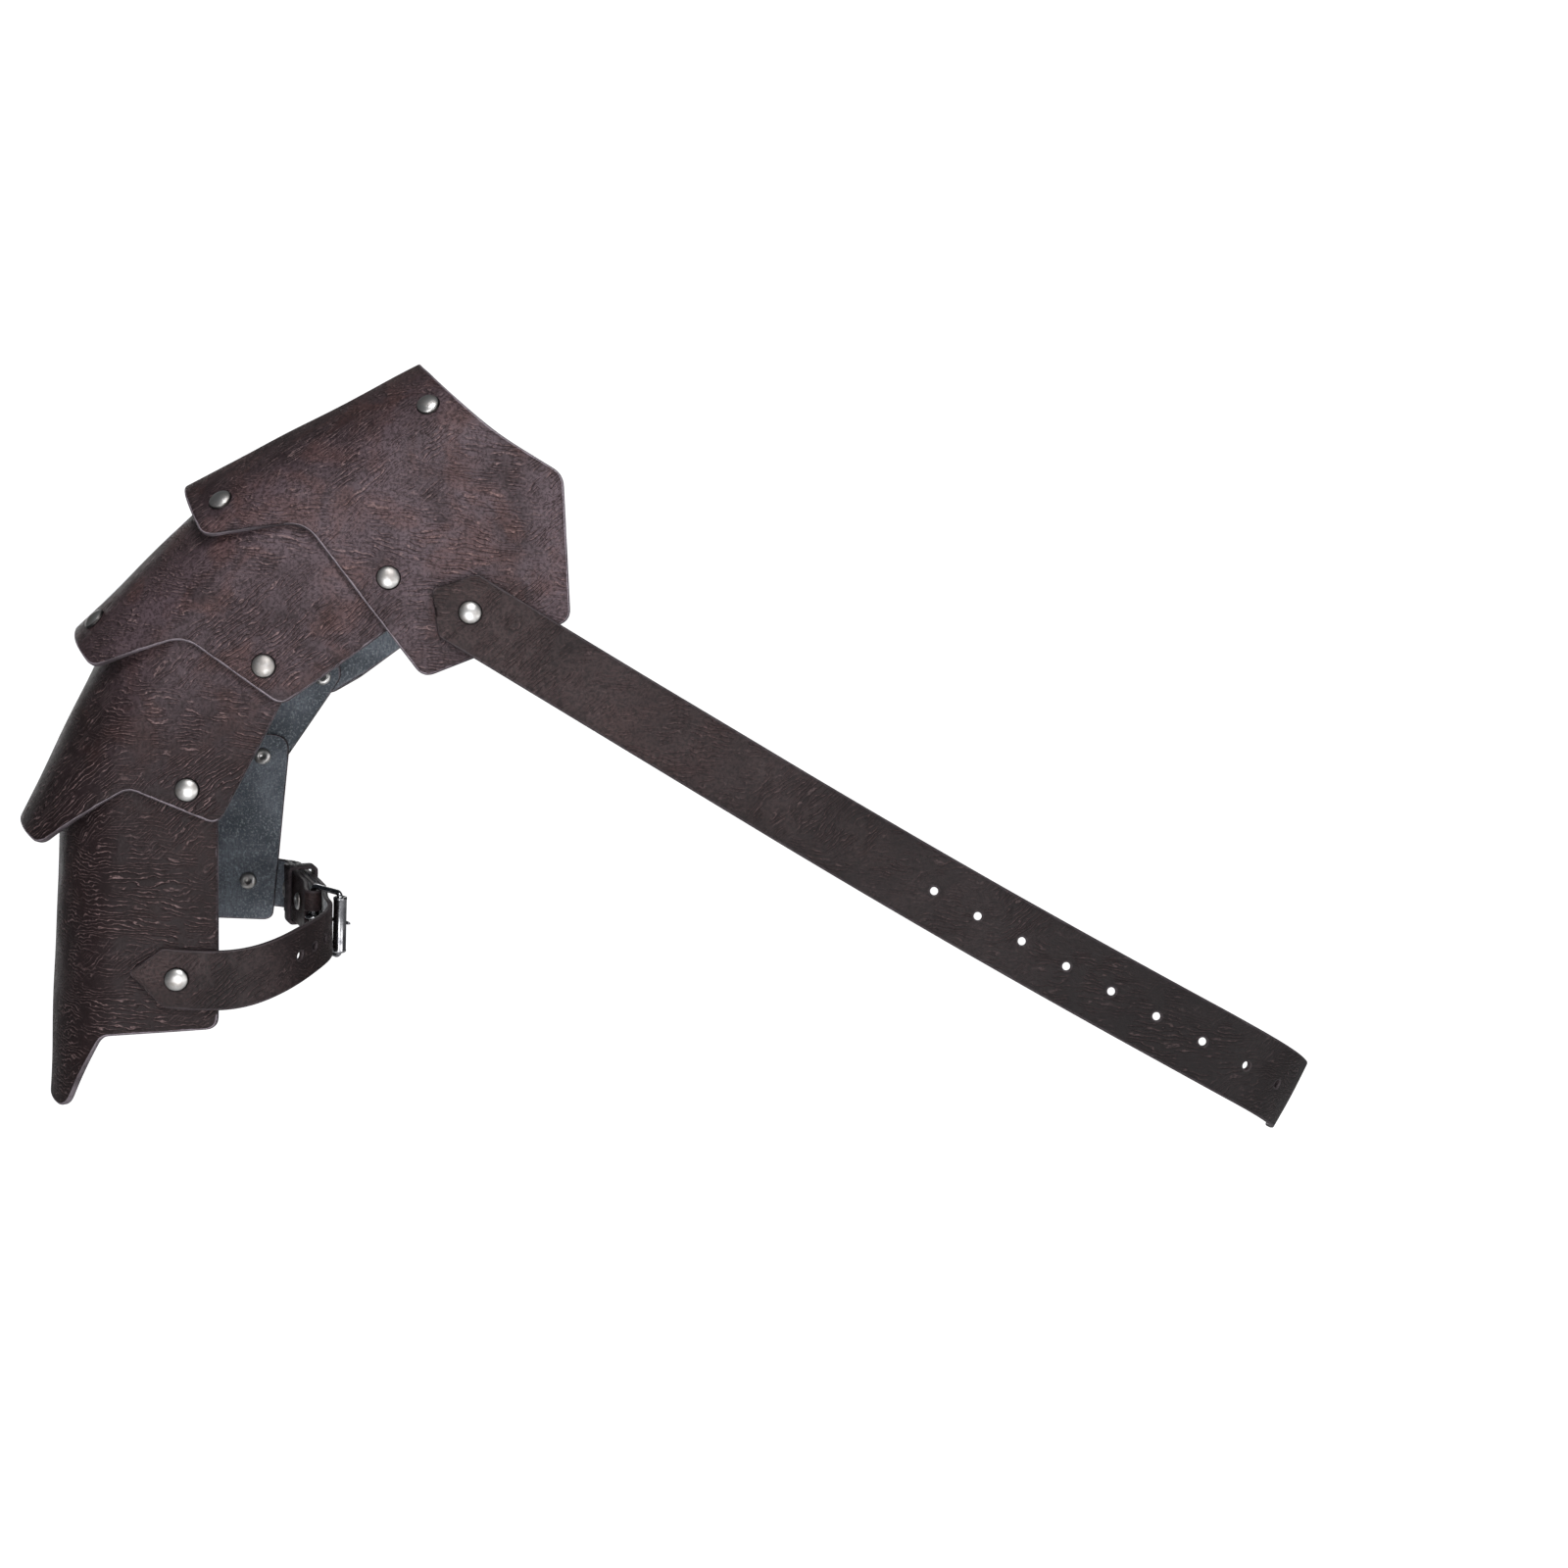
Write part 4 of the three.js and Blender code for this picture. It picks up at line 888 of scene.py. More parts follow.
def leather_material(name, look, groups):
    """Finished outer leather: mottled colour, reddish rubbed patches, pale edges; pale crests over dark feet
    that are partly painted highlight and shade, painted sheen on the lobes, painted shade over the ridges and
    lower down.
    """
    material, tree, shader, place = new_material(name, Specular_IOR_Level=look["gloss"])
    grain = place_group(tree, groups["grain"], {"Vector": place, "Amount": look["wrinkles"]})
    wear = place_group(tree, groups["wear"], {"Vector": place, "Width": look["edge_width"]})
    crests, feet = grain.outputs["Crests"], grain.outputs["Feet"]
    slow = noise(tree, place, look["mottle_scale"], 7.0, Roughness=0.68)
    warm = noise(tree, place, look["mottle_scale"] * 1.7, 4.0, Distortion=0.8)
    where = add(tree, "ShaderNodeSeparateXYZ", {0: place}).outputs
    # Painted shade, partly darker leather too: the lames darken downwards and the straps towards their free
    # ends, standing in partly for light falling off.
    shade = ramp(tree, where[look["shade_axis"]], *look["shade_reach"], 0.0, look["shade"])
    # Painted sheen and painted shade: the flat lobes take the paler violet middle colour for the softbox's
    # sheen, the ridges the redder, darker bend colour for their shade.
    flat = ramp(tree, maths(tree, "ABSOLUTE", where[1], 0.0), 0.035, 0.08)
    rubbed = times(tree, ramp(tree, warm, 0.47, 0.66), maths(tree, "ADD", 0.35, crests))
    lobe_sheen_over_ridge_shade = blend(tree, flat, colour(look["bend"]), colour(look["mid"]))
    base = blend(tree, ramp(tree, slow, 0.3, 0.6, 0.2, 1.0), colour(look["dark"]), lobe_sheen_over_ridge_shade)
    for share, over in (
            (times(tree, rubbed, look["warmth"]), "warm"),
            (shade, "dark"),
            # Painted highlight and painted shade: the crests' pale colour is partly rubbed leather and partly
            # the light on the wrinkles' tops; the dark feet are their shaded sides.
            (times(tree, crests, look["crest_light"]), "crest"),
            (times(tree, feet, 0.6), "dark"),
            (ramp(tree, grain.outputs["Grain"], 0.55, 0.4, 0.0, 0.6), "dark"),
            (times(tree, wear.outputs["Wear"], 0.35), "dark"),
            (times(tree, wear.outputs["Line"], look["edge_light"]), "edge")):
        base = blend(tree, share, base, colour(look[over]))
    tree.links.new(base, shader.inputs["Base Color"])
    rough = ramp(tree, slow, 0.3, 0.7, look["rough"] + 0.1, look["rough"] - 0.05)
    tree.links.new(maths(tree, "ADD", rough, times(tree, feet, 0.15)), shader.inputs["Roughness"])
    tree.links.new(bump(tree, grain.outputs["Height"], look["bump"], 0.0006), shader.inputs["Normal"])
    return material


def cut_edge_material(name, look):
    """Cut leather edge: fibres in layers through the wall, near-black with paler worn stretches; the
    near-black is partly the edge's own colour and partly painted shade on the cut wall.
    """
    material, tree, shader, place = new_material(name, Specular_IOR_Level=0.2)
    fibres = noise(tree, place, 700.0, 3.0)
    slow = noise(tree, place, 60.0, 2.0)
    # Painted shade in part: the cut wall is mostly near-black for the shadow it lies in as well as for its
    # own dark colour.
    base = blend(tree, ramp(tree, slow, 0.3, 0.7, 0.6, 0.95), colour(look["edge"]), colour(look["edge_dark"]))
    base = blend(tree, ramp(tree, fibres, 0.45, 0.75, 0.0, 0.6), base, colour(look["edge_dark"]))
    tree.links.new(base, shader.inputs["Base Color"])
    tree.links.new(ramp(tree, fibres, 0.3, 0.7, 0.62, 0.45), shader.inputs["Roughness"])
    tree.links.new(bump(tree, fibres, 0.25, 0.0003), shader.inputs["Normal"])
    return material


def suede_material(name, look, groups):
    """Inner face: blue-black split leather with slanting fibres, pale specks and a short nap."""
    material, tree, shader, place = new_material(name, Specular_IOR_Level=0.35, Sheen_Weight=0.25,
                                                 Sheen_Roughness=0.4)
    wear = place_group(tree, groups["wear"], {"Vector": place, "Width": 1.2})
    along = add(tree, "ShaderNodeMapping", {"Vector": place, "Rotation": (0.0, 0.9, 0.0),
                                            "Scale": (1.0, 1.0, 0.16)}).outputs[0]
    slow = noise(tree, place, 55.0, 5.0)
    specks = noise(tree, place, 1000.0, 4.0, Roughness=0.7)
    fibres = noise(tree, along, 1500.0, 3.0)
    base = blend(tree, ramp(tree, slow, 0.32, 0.68), colour(look["inside_dark"]), colour(look["inside"]))
    base = blend(tree, ramp(tree, fibres, 0.46, 0.62, 0.0, 0.55), base, colour(look["inside_dark"]))
    base = blend(tree, ramp(tree, specks, 0.5, 0.68, 0.0, 0.75), base, colour(look["inside_speck"]))
    base = blend(tree, times(tree, wear.outputs["Line"], 0.5), base, colour(look["edge"]))
    tree.links.new(base, shader.inputs["Base Color"])
    tree.links.new(ramp(tree, specks, 0.4, 0.65, 0.8, 0.5), shader.inputs["Roughness"])
    tree.links.new(bump(tree, specks, 0.5, 0.0006), shader.inputs["Normal"])
    return material


def metal_material(name, look):
    """Plated metal: a bright face that dulls in clouds, with fine scratches and a painted shade darkening its
    rim.
    """
    material, tree, shader, place = new_material(name, Metallic=1.0)
    clouds = noise(tree, place, 210.0, 5.0)
    fine = noise(tree, place, 1400.0, 3.0)
    base = blend(tree, ramp(tree, clouds, 0.38, 0.66), colour(look["metal"]), colour(look["metal_dark"]))
    # Painted shade: the cap's rim is darkened for the shadow where it meets the leather.
    base = blend(tree, ramp(tree, edge_distance(tree), 0.2, 0.75, 0.95, 0.0), base, colour(look["painted_rim_shade"]))
    tree.links.new(base, shader.inputs["Base Color"])
    rough = ramp(tree, clouds, 0.35, 0.7, look["metal_rough"], look["metal_rough"] + 0.16)
    tree.links.new(rough, shader.inputs["Roughness"])
    tree.links.new(bump(tree, fine, 0.05, 0.0002), shader.inputs["Normal"])
    return material


def floor_material(shade, glow):
    """Pale matt floor with the faintest cloudiness; seen directly it is lit up to a clean white."""
    material, tree, shader, place = new_material("pale_floor", Roughness=0.9)
    cloudy = noise(tree, place, 1.5, 2.0)
    pale = blend(tree, cloudy, colour([shade] * 3), colour([min(1.0, shade + 0.01)] * 3))
    tree.links.new(pale, shader.inputs["Base Color"])
    tree.links.new(pale, shader.inputs["Emission Color"])
    seen = add(tree, "ShaderNodeLightPath").outputs["Is Camera Ray"]
    tree.links.new(ramp(tree, seen, 0.0, 1.0, glow, 1.1), shader.inputs["Emission Strength"])
    return material


# ---- what a user would change ----


def colour_property(label, what, value):
    """A colour setting."""
    return bpy.props.FloatVectorProperty(name=label, description=what, default=value, size=3, min=0, max=1,
                                         subtype="COLOR")


def length_property(label, what, value):
    """A length setting in millimetres."""
    return bpy.props.FloatProperty(name=label, description=what, default=value, min=0.1, subtype="NONE")


class PauldronSizes(bpy.types.PropertyGroup):
    """Sizes in millimetres."""

    lame_wall: length_property("Lame thickness", "Thickness of the lames' leather in mm", LAME_WALL)
    chest_wall: length_property("Chest strap thickness", "Thickness of the chest strap in mm", CHEST_WALL)
    chest_width: length_property("Chest strap width", "Width of the chest strap in mm", CHEST_WIDTH)
    arm_wall: length_property("Arm strap thickness", "Thickness of the arm strap in mm", ARM_WALL)
    arm_width: length_property("Arm strap width", "Width of the arm strap in mm", ARM_WIDTH)
    hole_radius: length_property("Hole radius", "Radius of the punched holes in mm", 1.65)
    pattern_step: length_property("Edge step", "Step of the lames' mesh along their edges in mm", 1.2)
    floor_drop: bpy.props.FloatProperty(name="Floor drop", description="Floor below the part's lowest point",
                                        default=0.28, unit="LENGTH")
    lens: bpy.props.FloatProperty(name="Lens", description="Focal length of the camera in mm", default=33.75,
                                  subtype="DISTANCE_CAMERA")


class PauldronColours(bpy.types.PropertyGroup):
    """Colours of the leather and the metal."""

    dark: colour_property("Leather, dark", "Near-black parts of the lames", (0.0075, 0.0042, 0.0045))
    # Painted sheen and painted shade: the paler violet middle colour on the flat lobes stands for the
    # softbox's sheen, the redder bend colour over the ridges for their shade.
    mid: colour_property("Leather, middle", "Main violet-brown of the lames", (0.066, 0.047, 0.055))
    bend: colour_property("Leather, bends", "Redder brown over the ridges", (0.030, 0.0165, 0.0165))
    warm: colour_property("Leather, warm", "Reddish patches of the lames", (0.085, 0.036, 0.028))
    # Partly painted highlight: the pale crests are rubbed leather and also stand for light on the wrinkles'
    # tops.
    crest: colour_property("Crests", "Rubbed crests of the wrinkles", (0.17, 0.115, 0.115))
    edge: colour_property("Cut edge", "Cut edges of the leather", (0.21, 0.18, 0.205))
    # Partly painted shade: the near-black cut walls stand for their shadow as well as their own dark layer.
    edge_dark: colour_property("Cut edge, dark", "Darker layer of the cut edges", (0.02, 0.015, 0.017))
    strap: colour_property("Strap", "Main warm brown of the straps", (0.030, 0.019, 0.0195))
    strap_dark: colour_property("Strap, dark", "Darker parts of the straps", (0.005, 0.0036, 0.004))
    inside: colour_property("Inside", "Slate inner face", (0.13, 0.145, 0.17))
    inside_dark: colour_property("Inside, dark", "Darker parts of the inner face", (0.05, 0.058, 0.07))
    inside_speck: colour_property("Inside specks", "Pale specks of the inner face", (0.26, 0.29, 0.32))
    nickel: colour_property("Nickel", "Bright parts of the rivets", (0.40, 0.395, 0.39))
    nickel_dark: colour_property("Nickel, dark", "Dull parts of the rivets", (0.24, 0.225, 0.215))
    buckle: colour_property("Buckle", "Bright parts of the buckle", (0.30, 0.30, 0.31))
    buckle_dark: colour_property("Buckle, dark", "Dull parts of the buckle", (0.11, 0.11, 0.12))
    # Painted shade: the dark rim of the rivet caps stands for the shadow where they meet the leather.
    painted_rim_shade: colour_property("Grime", "Dark rim of the rivets", (0.01, 0.008, 0.008))


def leather_looks(colours):
    """Settings of the lames' and the straps' leather from the colour properties."""
    shared = {name: tuple(getattr(colours, name)) for name in (
        "dark", "mid", "bend", "warm", "crest", "edge", "edge_dark", "inside", "inside_dark", "inside_speck")}
    # shade, shade_axis and shade_reach set a painted shade that is partly darker leather: downwards on the
    # lames, outwards along x on the straps.
    lames = {**shared, "gloss": 0.13, "wrinkles": 1.0, "edge_width": 0.85, "edge_light": 0.8,
             "mottle_scale": 27.0, "warmth": 0.75, "crest_light": 0.72, "rough": 0.46, "bump": 0.8,
             "shade_axis": 2, "shade_reach": (-0.075, -0.18), "shade": 0.9}
    brown = tuple(colours.strap)
    straps = {**lames, "dark": tuple(colours.strap_dark), "mid": brown, "bend": brown,
              "wrinkles": 0.7, "edge_light": 0.1, "mottle_scale": 15.0, "warmth": 0.12, "crest_light": 0.3,
              "bump": 0.7, "shade_axis": 0, "shade_reach": (0.09, 0.38), "shade": 0.9}
    return lames, straps


def metal_look(bright, dull, rough, painted_rim_shade):
    """Settings of one plated metal."""
    return {"metal": tuple(bright), "metal_dark": tuple(dull), "metal_rough": rough, "painted_rim_shade": tuple(painted_rim_shade)}


MATERIALS = {}


def make_materials(colours):
    """All finishes, made once and kept by name."""
    groups = {"grain": leather_grain_group(), "wear": edge_wear_group()}
    lames, straps = leather_looks(colours)
    nickel = metal_look(colours.nickel, colours.nickel_dark, 0.36, colours.painted_rim_shade)
    buckle = metal_look(colours.buckle, colours.buckle_dark, 0.16, colours.painted_rim_shade)
    edge = cut_edge_material("cut_edge", lames)
    inside = suede_material("suede_inside", lames, groups)
    strap_edge = cut_edge_material("strap_edge", {**straps, "edge": straps["mid"]})
    MATERIALS["lame"] = [leather_material("lame_leather", lames, groups), edge, inside]
    MATERIALS["strap"] = [leather_material("strap_leather", straps, groups), strap_edge, inside]
    MATERIALS["rivet"] = [metal_material("antique_nickel", nickel)]
    MATERIALS["buckle"] = [metal_material("dark_nickel", buckle)]


def finished(obj, node):
    """Rides the piece on the body and hides the plain solid it stands for."""
    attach(obj, "root")
    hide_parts(node)


# ---- operators ----


class PAULDRON_OT_materials(bpy.types.Operator):
    """Make the leather and metal finishes"""

    bl_idname = "pauldron.materials"
    bl_label = "Finishes"

    def execute(self, context):
        make_materials(context.scene.pauldron_colours)
        return {"FINISHED"}


class PAULDRON_OT_lames(bpy.types.Operator):
    """Make the four bent leather lames"""

    bl_idname = "pauldron.lames"
    bl_label = "Lames"

    def execute(self, context):
        sizes = context.scene.pauldron_sizes
        for name, lame in LAMES.items():
            pattern, faces = lame_pattern(lame, sizes.pattern_step)
            bend = lame_bend(lame)
            obj = leather_sheet(f"{name}_leather", pattern, faces, bend, sizes.lame_wall, MATERIALS["lame"])
            finished(obj, name)
        return {"FINISHED"}


class PAULDRON_OT_chest_strap(bpy.types.Operator):
    """Make the long punched chest strap"""

    bl_idname = "pauldron.chest_strap"
    bl_label = "Chest strap"

    def execute(self, context):
        sizes = context.scene.pauldron_sizes
        holes = [(at, 0.0) for at in CHEST_HOLES]
        pattern, faces = strap_pattern(CHEST_TIPS, sizes.chest_width, holes, sizes.hole_radius)
        bend = strap_bend(chest_table(), sizes.chest_wall)
        obj = leather_sheet("chest_strap_leather", pattern, faces, bend, sizes.chest_wall, MATERIALS["strap"])
        finished(obj, "chest_strap")
        return {"FINISHED"}


class PAULDRON_OT_arm_straps(bpy.types.Operator):
    """Make the arm strap and the folded buckle strap"""

    bl_idname = "pauldron.arm_straps"
    bl_label = "Arm straps"

    def execute(self, context):
        sizes = context.scene.pauldron_sizes
        holes = sorted([*((at, 0.0) for at in ARM_HOLES), PASSAGE])
        pattern, faces = strap_pattern(ARM_TIPS, sizes.arm_width, holes, sizes.hole_radius)
        bend = strap_bend(arm_table(), sizes.arm_wall)
        obj = leather_sheet("arm_strap_leather", pattern, faces, bend, sizes.arm_wall, MATERIALS["strap"])
        finished(obj, "arm_strap")
        table = ply_table()
        end = table[0][-1]
        fold = PLY_END - BAR_AT + PLY_RADIUS * math.pi / 2
        slot_half, slot_radius = BUCKLE_SLOT
        pattern, faces = strap_pattern((0, 0, end, end), sizes.arm_width, [(fold, slot_half)], slot_radius)
        bend = strap_bend(table, PLY_WALL)
        obj = leather_sheet("buckle_strap_leather", pattern, faces, bend, PLY_WALL, MATERIALS["strap"])
        finished(obj, "buckle_strap")
        return {"FINISHED"}


class PAULDRON_OT_keeper(bpy.types.Operator):
    """Make the leather keeper that holds the arm strap's tail"""

    bl_idname = "pauldron.keeper"
    bl_label = "Keeper"

    def execute(self, context):
        sizes = context.scene.pauldron_sizes
        centre, along, outward, up = loop_frame(KEEPER_AT)
        low, high = -PLY_CLOSED - PLY_WALL / 2 - GAP, ARM_LIFT[0] + sizes.arm_wall / 2 + GAP
        points, faces = keeper_band(low, high, sizes.arm_width / 2 + GAP)
        placed = centre + points[:, :1] * along + points[:, 1:2] * outward + points[:, 2:] * up
        kinds = np.zeros(len(faces))
        edge = KEEPER_WIDTH / 2 - np.abs(points[:, 0])
        obj = build_mesh("strap_keeper_leather", placed, faces, MATERIALS["strap"], kinds, edge)
        finished(obj, "strap_keeper")
        return {"FINISHED"}


def keeper_band(low, high, half):
    """A rounded flat section carried round a rounded rectangle that clears the straps."""
    radius, rounding, spare = 1.6, 0.6, 0.2
    quarter = np.linspace(0, math.pi / 2, 7)
    path, normals = [], []
    for k, (z, y, turn_z, turn_y) in enumerate([(half, high, 1, 1), (-half, high, -1, 1),
                                                (-half, low, -1, -1), (half, low, 1, -1)]):
        angle = quarter + k * math.pi / 2
        ring = np.stack([np.cos(angle), np.sin(angle)], 1)
        inset = radius - KEEPER_WALL / 2 - spare
        path.append(np.array([z - turn_z * inset, y - turn_y * inset]) + ring * (radius + spare))
        normals.append(ring)
    path, normals = np.vstack(path), np.vstack(normals)
    turn = np.linspace(0, 2 * math.pi, 17)[:-1]
    flat = np.sign(np.cos(turn)) * (KEEPER_WIDTH / 2 - rounding) + rounding * np.cos(turn)
    thick = np.sign(np.sin(turn)) * (KEEPER_WALL / 2 - rounding) + rounding * np.sin(turn)
    along = np.broadcast_to(flat, (len(path), len(turn)))
    ring = path[:, None] + normals[:, None] * thick[None, :, None]
    points = np.stack([along, ring[..., 1], ring[..., 0]], -1)
    index = np.arange(len(path) * len(turn)).reshape(len(path), len(turn))
    return points.reshape(-1, 3), ring_faces(np.vstack([index, index[:1]]))


def buckle_axes(arm_wall):
    """The buckle's own directions: bar to roller, outwards and across, with the bar's centre and the span."""
    bar, _, out, up = loop_frame(BAR_AT, -PLY_RADIUS)
    bar = bar - up * BUCKLE_DROP
    run = loop_frame(ROLLER_AT, arm_wall / 2 + ROLLER_GAP + ROLLER_RADIUS)[0] - bar
    run = run - up * (run @ up)
    span = np.linalg.norm(run)
    along = run / span
    outward = np.cross(up, along)
    outward = outward if outward @ out > 0 else -outward
    return bar, along, outward, np.cross(outward, along), span


class PAULDRON_OT_buckle(bpy.types.Operator):
    """Make the roller buckle: frame, roller and prong"""

    bl_idname = "pauldron.buckle"
    bl_label = "Roller buckle"

    def execute(self, context):
        bar, along, outward, up, span = buckle_axes(context.scene.pauldron_sizes.arm_wall)

        def put(points):
            return bar + points[:, :1] * along + points[:, 1:2] * outward + points[:, 2:] * up

        def make(name, points, faces, node):
            obj = build_mesh(name, put(points), faces, MATERIALS["buckle"], np.zeros(len(faces)))
            finished(obj, node)

        make("buckle_frame_wire", *frame_wire(span), "buckle_frame")
        make("buckle_roller_tube", *roller_tube(span), "buckle_roller")
        make("buckle_prong_wire", *prong_wire(span), "buckle_prong")
        return {"FINISHED"}


def frame_wire(span):
    """A round wire carried round a rounded rectangle in the buckle's plane."""
    side, bend = FRAME_SIDE, FRAME_CORNER
    quarter = np.linspace(0, math.pi / 2, 8)
    path = []
    for k, (x, z) in enumerate([(span - bend, side - bend), (bend, side - bend), (bend, bend - side),
                                (span - bend, bend - side)]):
        angle = quarter + k * math.pi / 2
        path.append(np.stack([x + bend * np.cos(angle), 0 * angle, z + bend * np.sin(angle)], 1))
    return tube(np.vstack(path), FRAME_RADIUS, closed=True, segments=18, up=(0.0, 1.0, 0.0))


def roller_tube(span):
    """A thin tube round the frame's front bar, its ends rolled over: a closed section, turned."""
    outer, inner = ROLLER_RADIUS, ROLLER_BORE
    half = [(inner, 0.3), (inner + 0.25, 0), (outer - 0.35, 0), (outer, 0.35), (outer, 1.2),
            (outer - 0.12, 1.5)]
    profile = [(radius, in_from - ROLLER_HALF) for radius, in_from in half]
    profile += [(radius, ROLLER_HALF - in_from) for radius, in_from in half[::-1]]
    points, faces = lathe(profile, 28)
    rows, segments = points.shape[:2]
    index = np.arange(rows * segments).reshape(rows, segments)
    closing = np.stack([index[-1], index[0], np.roll(index[0], -1), np.roll(index[-1], -1)], -1)
    faces = np.vstack([faces.reshape(-1, 4), closing])
    points = points.reshape(-1, 3)[:, [0, 2, 1]] + [span, 0, 0]
    return points, faces


def prong_wire(span):
    """A wire that turns round the bar as an eye and then runs to rest on the roller, its tip bent down."""
    turn = np.radians(np.linspace(*PRONG_TURN, 22))
    ring = np.stack([PRONG_EYE * np.cos(turn), PRONG_EYE * np.sin(turn), 0 * turn], 1)
    rest, tip = ROLLER_RADIUS + GAP + PRONG_RADIUS, span + PRONG_PAST
    x = np.linspace(PRONG_START, tip, 16)
    y = np.interp(x, [PRONG_START, span - 2, tip], [PRONG_EYE, rest, rest - 0.1])
    path = np.vstack([ring, np.stack([x, y, 0 * x], 1)])
    thinning = np.interp(x, [PRONG_START, tip - 1, tip], [0.95, 0.8, 0.45])
    return tube(path, np.concatenate([np.full(len(ring), PRONG_RADIUS), thinning]), segments=14)


class PAULDRON_OT_rivets(bpy.types.Operator):
    """Make the domed rivets with their ring backs"""

    bl_idname = "pauldron.rivets"
    bl_label = "Rivets"

    def execute(self, context):
        for name, (seat, outward, grip, height) in SEATS.items():
            points, faces = closed_at_poles(*lathe(rivet_profile(grip, height), RIVET_SEGMENTS))
            middle = seat - outward * grip / 2
            placed = turned_to(points, seat + outward * unevenness(middle[None])[0], outward)
            rim = np.where(points[:, 1] > 0, CAP_RADIUS - np.hypot(points[:, 0], points[:, 2]), CAP_RADIUS)
            obj = build_mesh(f"{name}_cap", placed, faces, MATERIALS["rivet"], np.zeros(len(faces)), rim)
            finished(obj, name)
        return {"FINISHED"}


def rivet_profile(grip, height):
    """Ring back with its hollow, shank, and a cap: a short rim under a dome like a flattened ellipse."""
    low = -grip - CAP_LIFT - RING_HEIGHT
    turn = np.linspace(0, 1, 14) * math.pi / 2
    dome = np.stack([(CAP_RADIUS - 0.12) * np.cos(turn),
                     CAP_LIFT + CAP_RIM + (height - CAP_RIM) * np.sin(turn) ** 1.15], 1)
    ring = [(0, 1.05), (1.25, 1.0), (1.5, 0.25), (SHANK_RADIUS, 0.05), (2.3, 0), (3.2, 0.1), (3.9, 0.45),
            (RING_RADIUS, 0.9), (RING_RADIUS, RING_HEIGHT), (SHANK_RADIUS, RING_HEIGHT)]
    under = [(SHANK_RADIUS, 0), (CAP_RADIUS - 0.25, 0), (CAP_RADIUS, 0.15), (CAP_RADIUS, CAP_RIM - 0.1)]
    return [*((radius, low + up) for radius, up in ring), *((radius, CAP_LIFT + up) for radius, up in under),
            *dome.tolist()]


class PAULDRON_OT_stage(bpy.types.Operator):
    """Make the pale floor, the soft lights and the camera"""

    bl_idname = "pauldron.stage"
    bl_label = "Stage"

    def execute(self, context):
        sizes = context.scene.pauldron_sizes
        make_floor(CAD_BOX[0][2] - sizes.floor_drop)
        make_lights(context.scene)
        make_camera(context.scene, sizes.lens)
        return {"FINISHED"}


def make_floor(level):
    """A floor that turns up in a wide quarter circle into a wall behind the part."""
    turn = np.linspace(0, math.pi / 2, 24)
    bend, back, front, half, top = 1.6, 3.2, -4.0, 6.0, 6.0
    y = np.concatenate([[front, 0.0], back + bend * np.sin(turn), [back + bend]])
    z = np.concatenate([[0.0, 0.0], bend * (1 - np.cos(turn)), [top]])
    x = np.array([-half, half])
    points = np.stack(np.broadcast_arrays(x[None], y[:, None], z[:, None] + level), -1).reshape(-1, 3)
    mesh = bpy.data.meshes.new("floor")
    mesh.from_pydata(points.tolist(), [], grid_faces(len(y), 2)[:, ::-1].tolist())
    mesh.polygons.foreach_set("use_smooth", np.ones(len(mesh.polygons), bool))
    mesh.materials.append(floor_material(FLOOR_SHADE, FLOOR_GLOW))
    floor = bpy.data.objects.new("floor", mesh)
    bpy.context.scene.collection.objects.link(floor)


def make_lights(scene):
    """Near softboxes above and below the front, one turned to the inner faces, one behind, a dim surround."""
    world = bpy.data.worlds.new("pale_surround")
    world.use_nodes = True
    surround = world.node_tree.nodes["Background"].inputs
    surround["Color"].default_value = SURROUND
    surround["Strength"].default_value = SURROUND_STRENGTH
    scene.world = world
    for name, place, aim, size, power in SOFTBOXES:
        lamp = bpy.data.lights.new(name, "AREA")
        lamp.shape = "SQUARE"
        lamp.size = size
        lamp.energy = power
        obj = bpy.data.objects.new(name, lamp)
        obj.location = place
        obj.rotation_mode = "QUATERNION"
        obj.rotation_quaternion = (Vector(aim) - obj.location).to_track_quat("-Z", "Y")
        scene.collection.objects.link(obj)


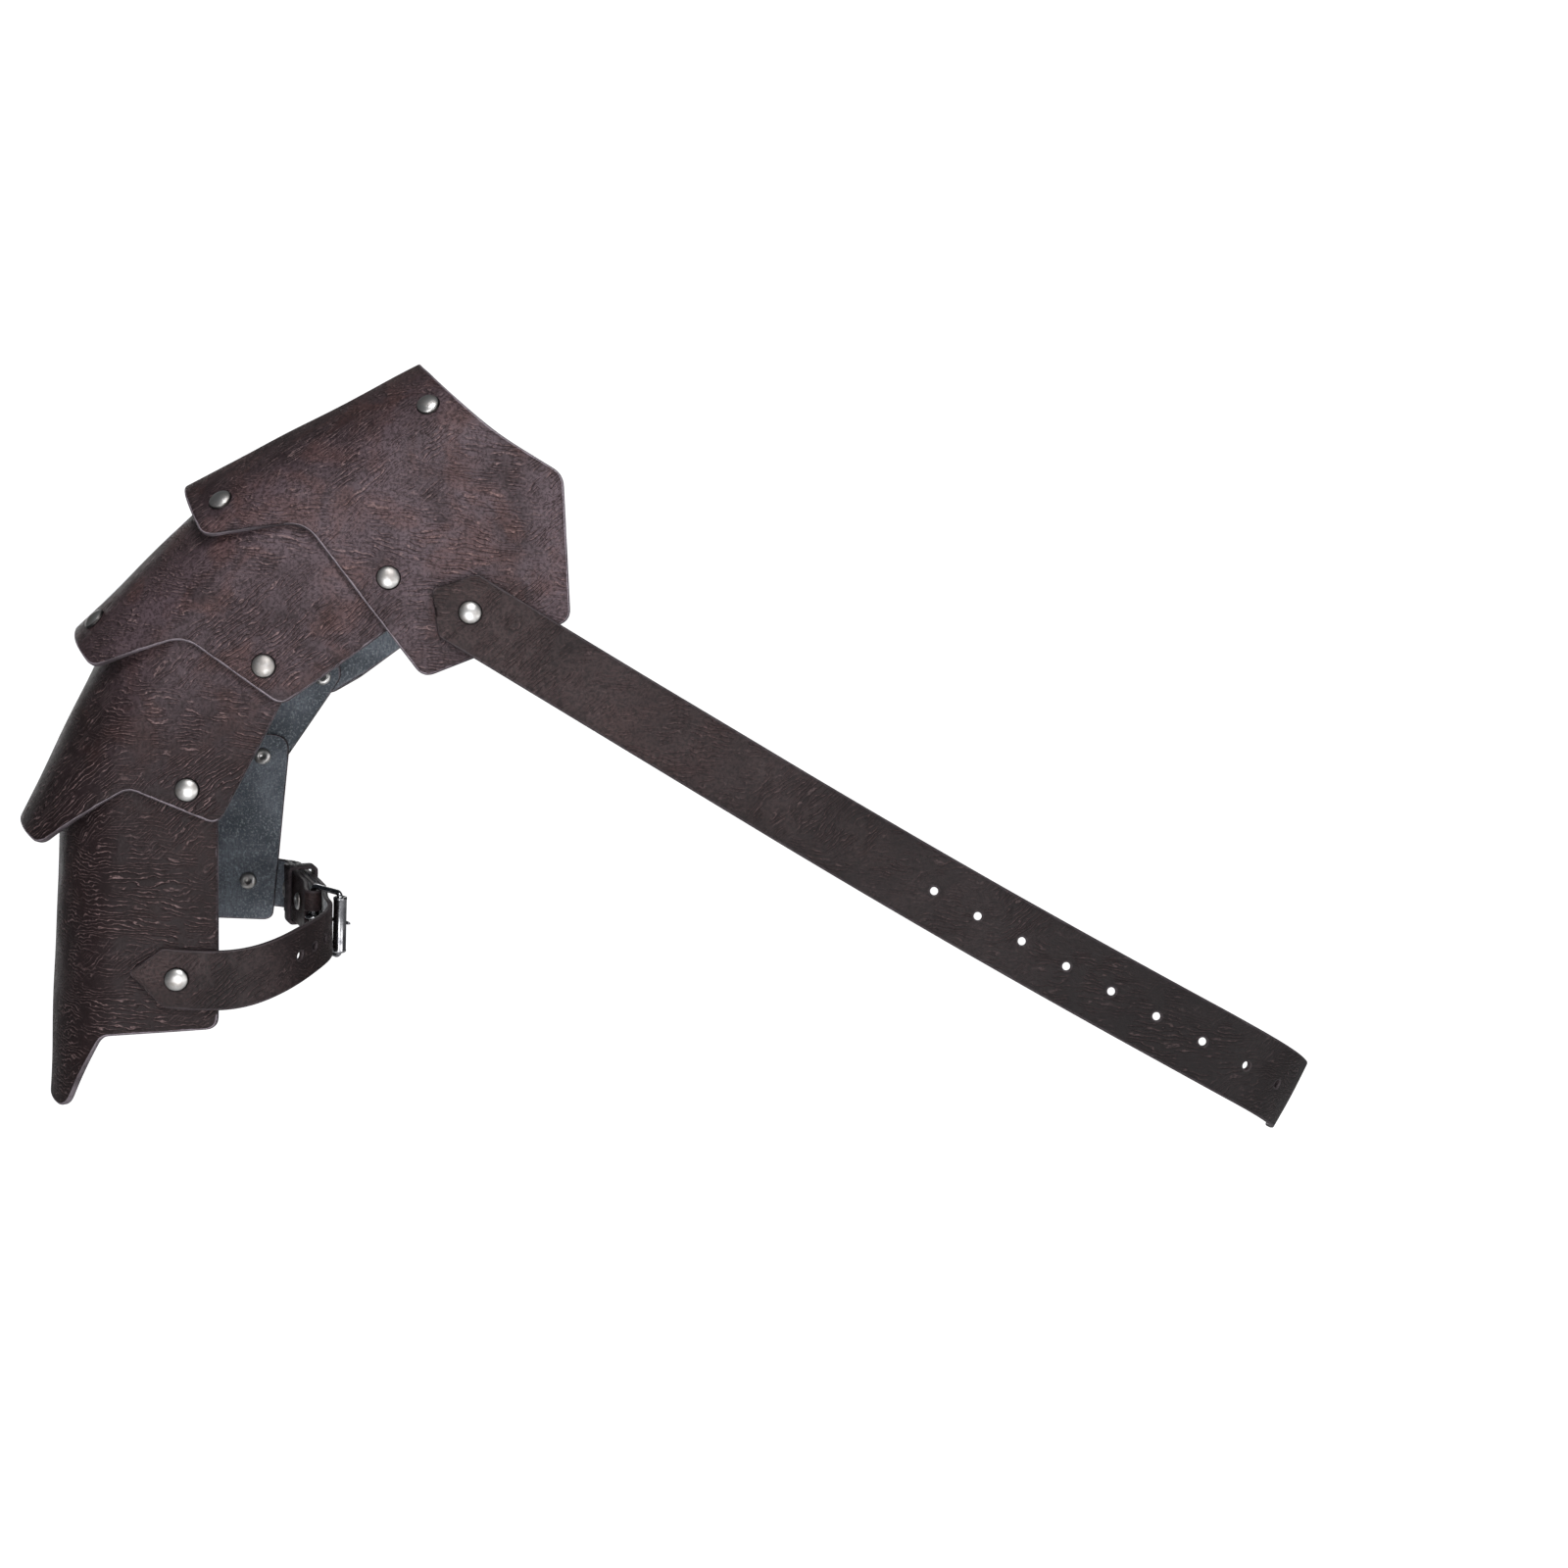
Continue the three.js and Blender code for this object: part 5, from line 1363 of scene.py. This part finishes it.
def make_camera(scene, lens):
    """The camera stands close in front, a little right of the guard and below its ridge."""
    camera = bpy.data.cameras.new("camera")
    camera.sensor_width = 36.0
    camera.lens = lens
    camera.clip_start, camera.clip_end = 0.01, 50.0
    obj = bpy.data.objects.new("camera", camera)
    turn, tilt = math.radians(CAMERA_TURN), math.radians(CAMERA_TILT)
    obj.location = CAMERA_PLACE
    ahead = Vector((math.sin(turn) * math.cos(tilt), math.cos(turn) * math.cos(tilt), math.sin(tilt)))
    obj.rotation_mode = "QUATERNION"
    obj.rotation_quaternion = ahead.to_track_quat("-Z", "Y")
    scene.collection.objects.link(obj)
    scene.camera = obj
    scene.view_settings.view_transform = "Standard"
    scene.view_settings.look = "None"


class PAULDRON_PT_panel(bpy.types.Panel):
    """Lists the pauldron's settings and the operators that make its pieces"""

    bl_idname = "PAULDRON_PT_panel"
    bl_label = "Pauldron"
    bl_space_type = "VIEW_3D"
    bl_region_type = "UI"
    bl_category = "Pauldron"

    def draw(self, context):
        for group in (context.scene.pauldron_sizes, context.scene.pauldron_colours):
            for name in group.bl_rna.properties.keys():
                if name not in ("rna_type", "name"):
                    self.layout.prop(group, name)
        for operator in OPERATORS:
            self.layout.operator(operator.bl_idname)


OPERATORS = (
    PAULDRON_OT_materials, PAULDRON_OT_stage, PAULDRON_OT_lames, PAULDRON_OT_chest_strap,
    PAULDRON_OT_arm_straps, PAULDRON_OT_keeper, PAULDRON_OT_buckle, PAULDRON_OT_rivets,
)
CLASSES = (PauldronSizes, PauldronColours, *OPERATORS, PAULDRON_PT_panel)


def register():
    """Registers the classes and puts both groups of settings on the scene."""
    for cls in CLASSES:
        bpy.utils.register_class(cls)
    bpy.types.Scene.pauldron_sizes = bpy.props.PointerProperty(type=PauldronSizes)
    bpy.types.Scene.pauldron_colours = bpy.props.PointerProperty(type=PauldronColours)


def unregister():
    """Takes the settings off the scene and the classes out again."""
    del bpy.types.Scene.pauldron_colours
    del bpy.types.Scene.pauldron_sizes
    for cls in reversed(CLASSES):
        bpy.utils.unregister_class(cls)


def main():
    register()
    for operator in OPERATORS:
        group, name = operator.bl_idname.split(".")
        getattr(getattr(bpy.ops, group), name)()


if __name__ == "__main__":
    main()
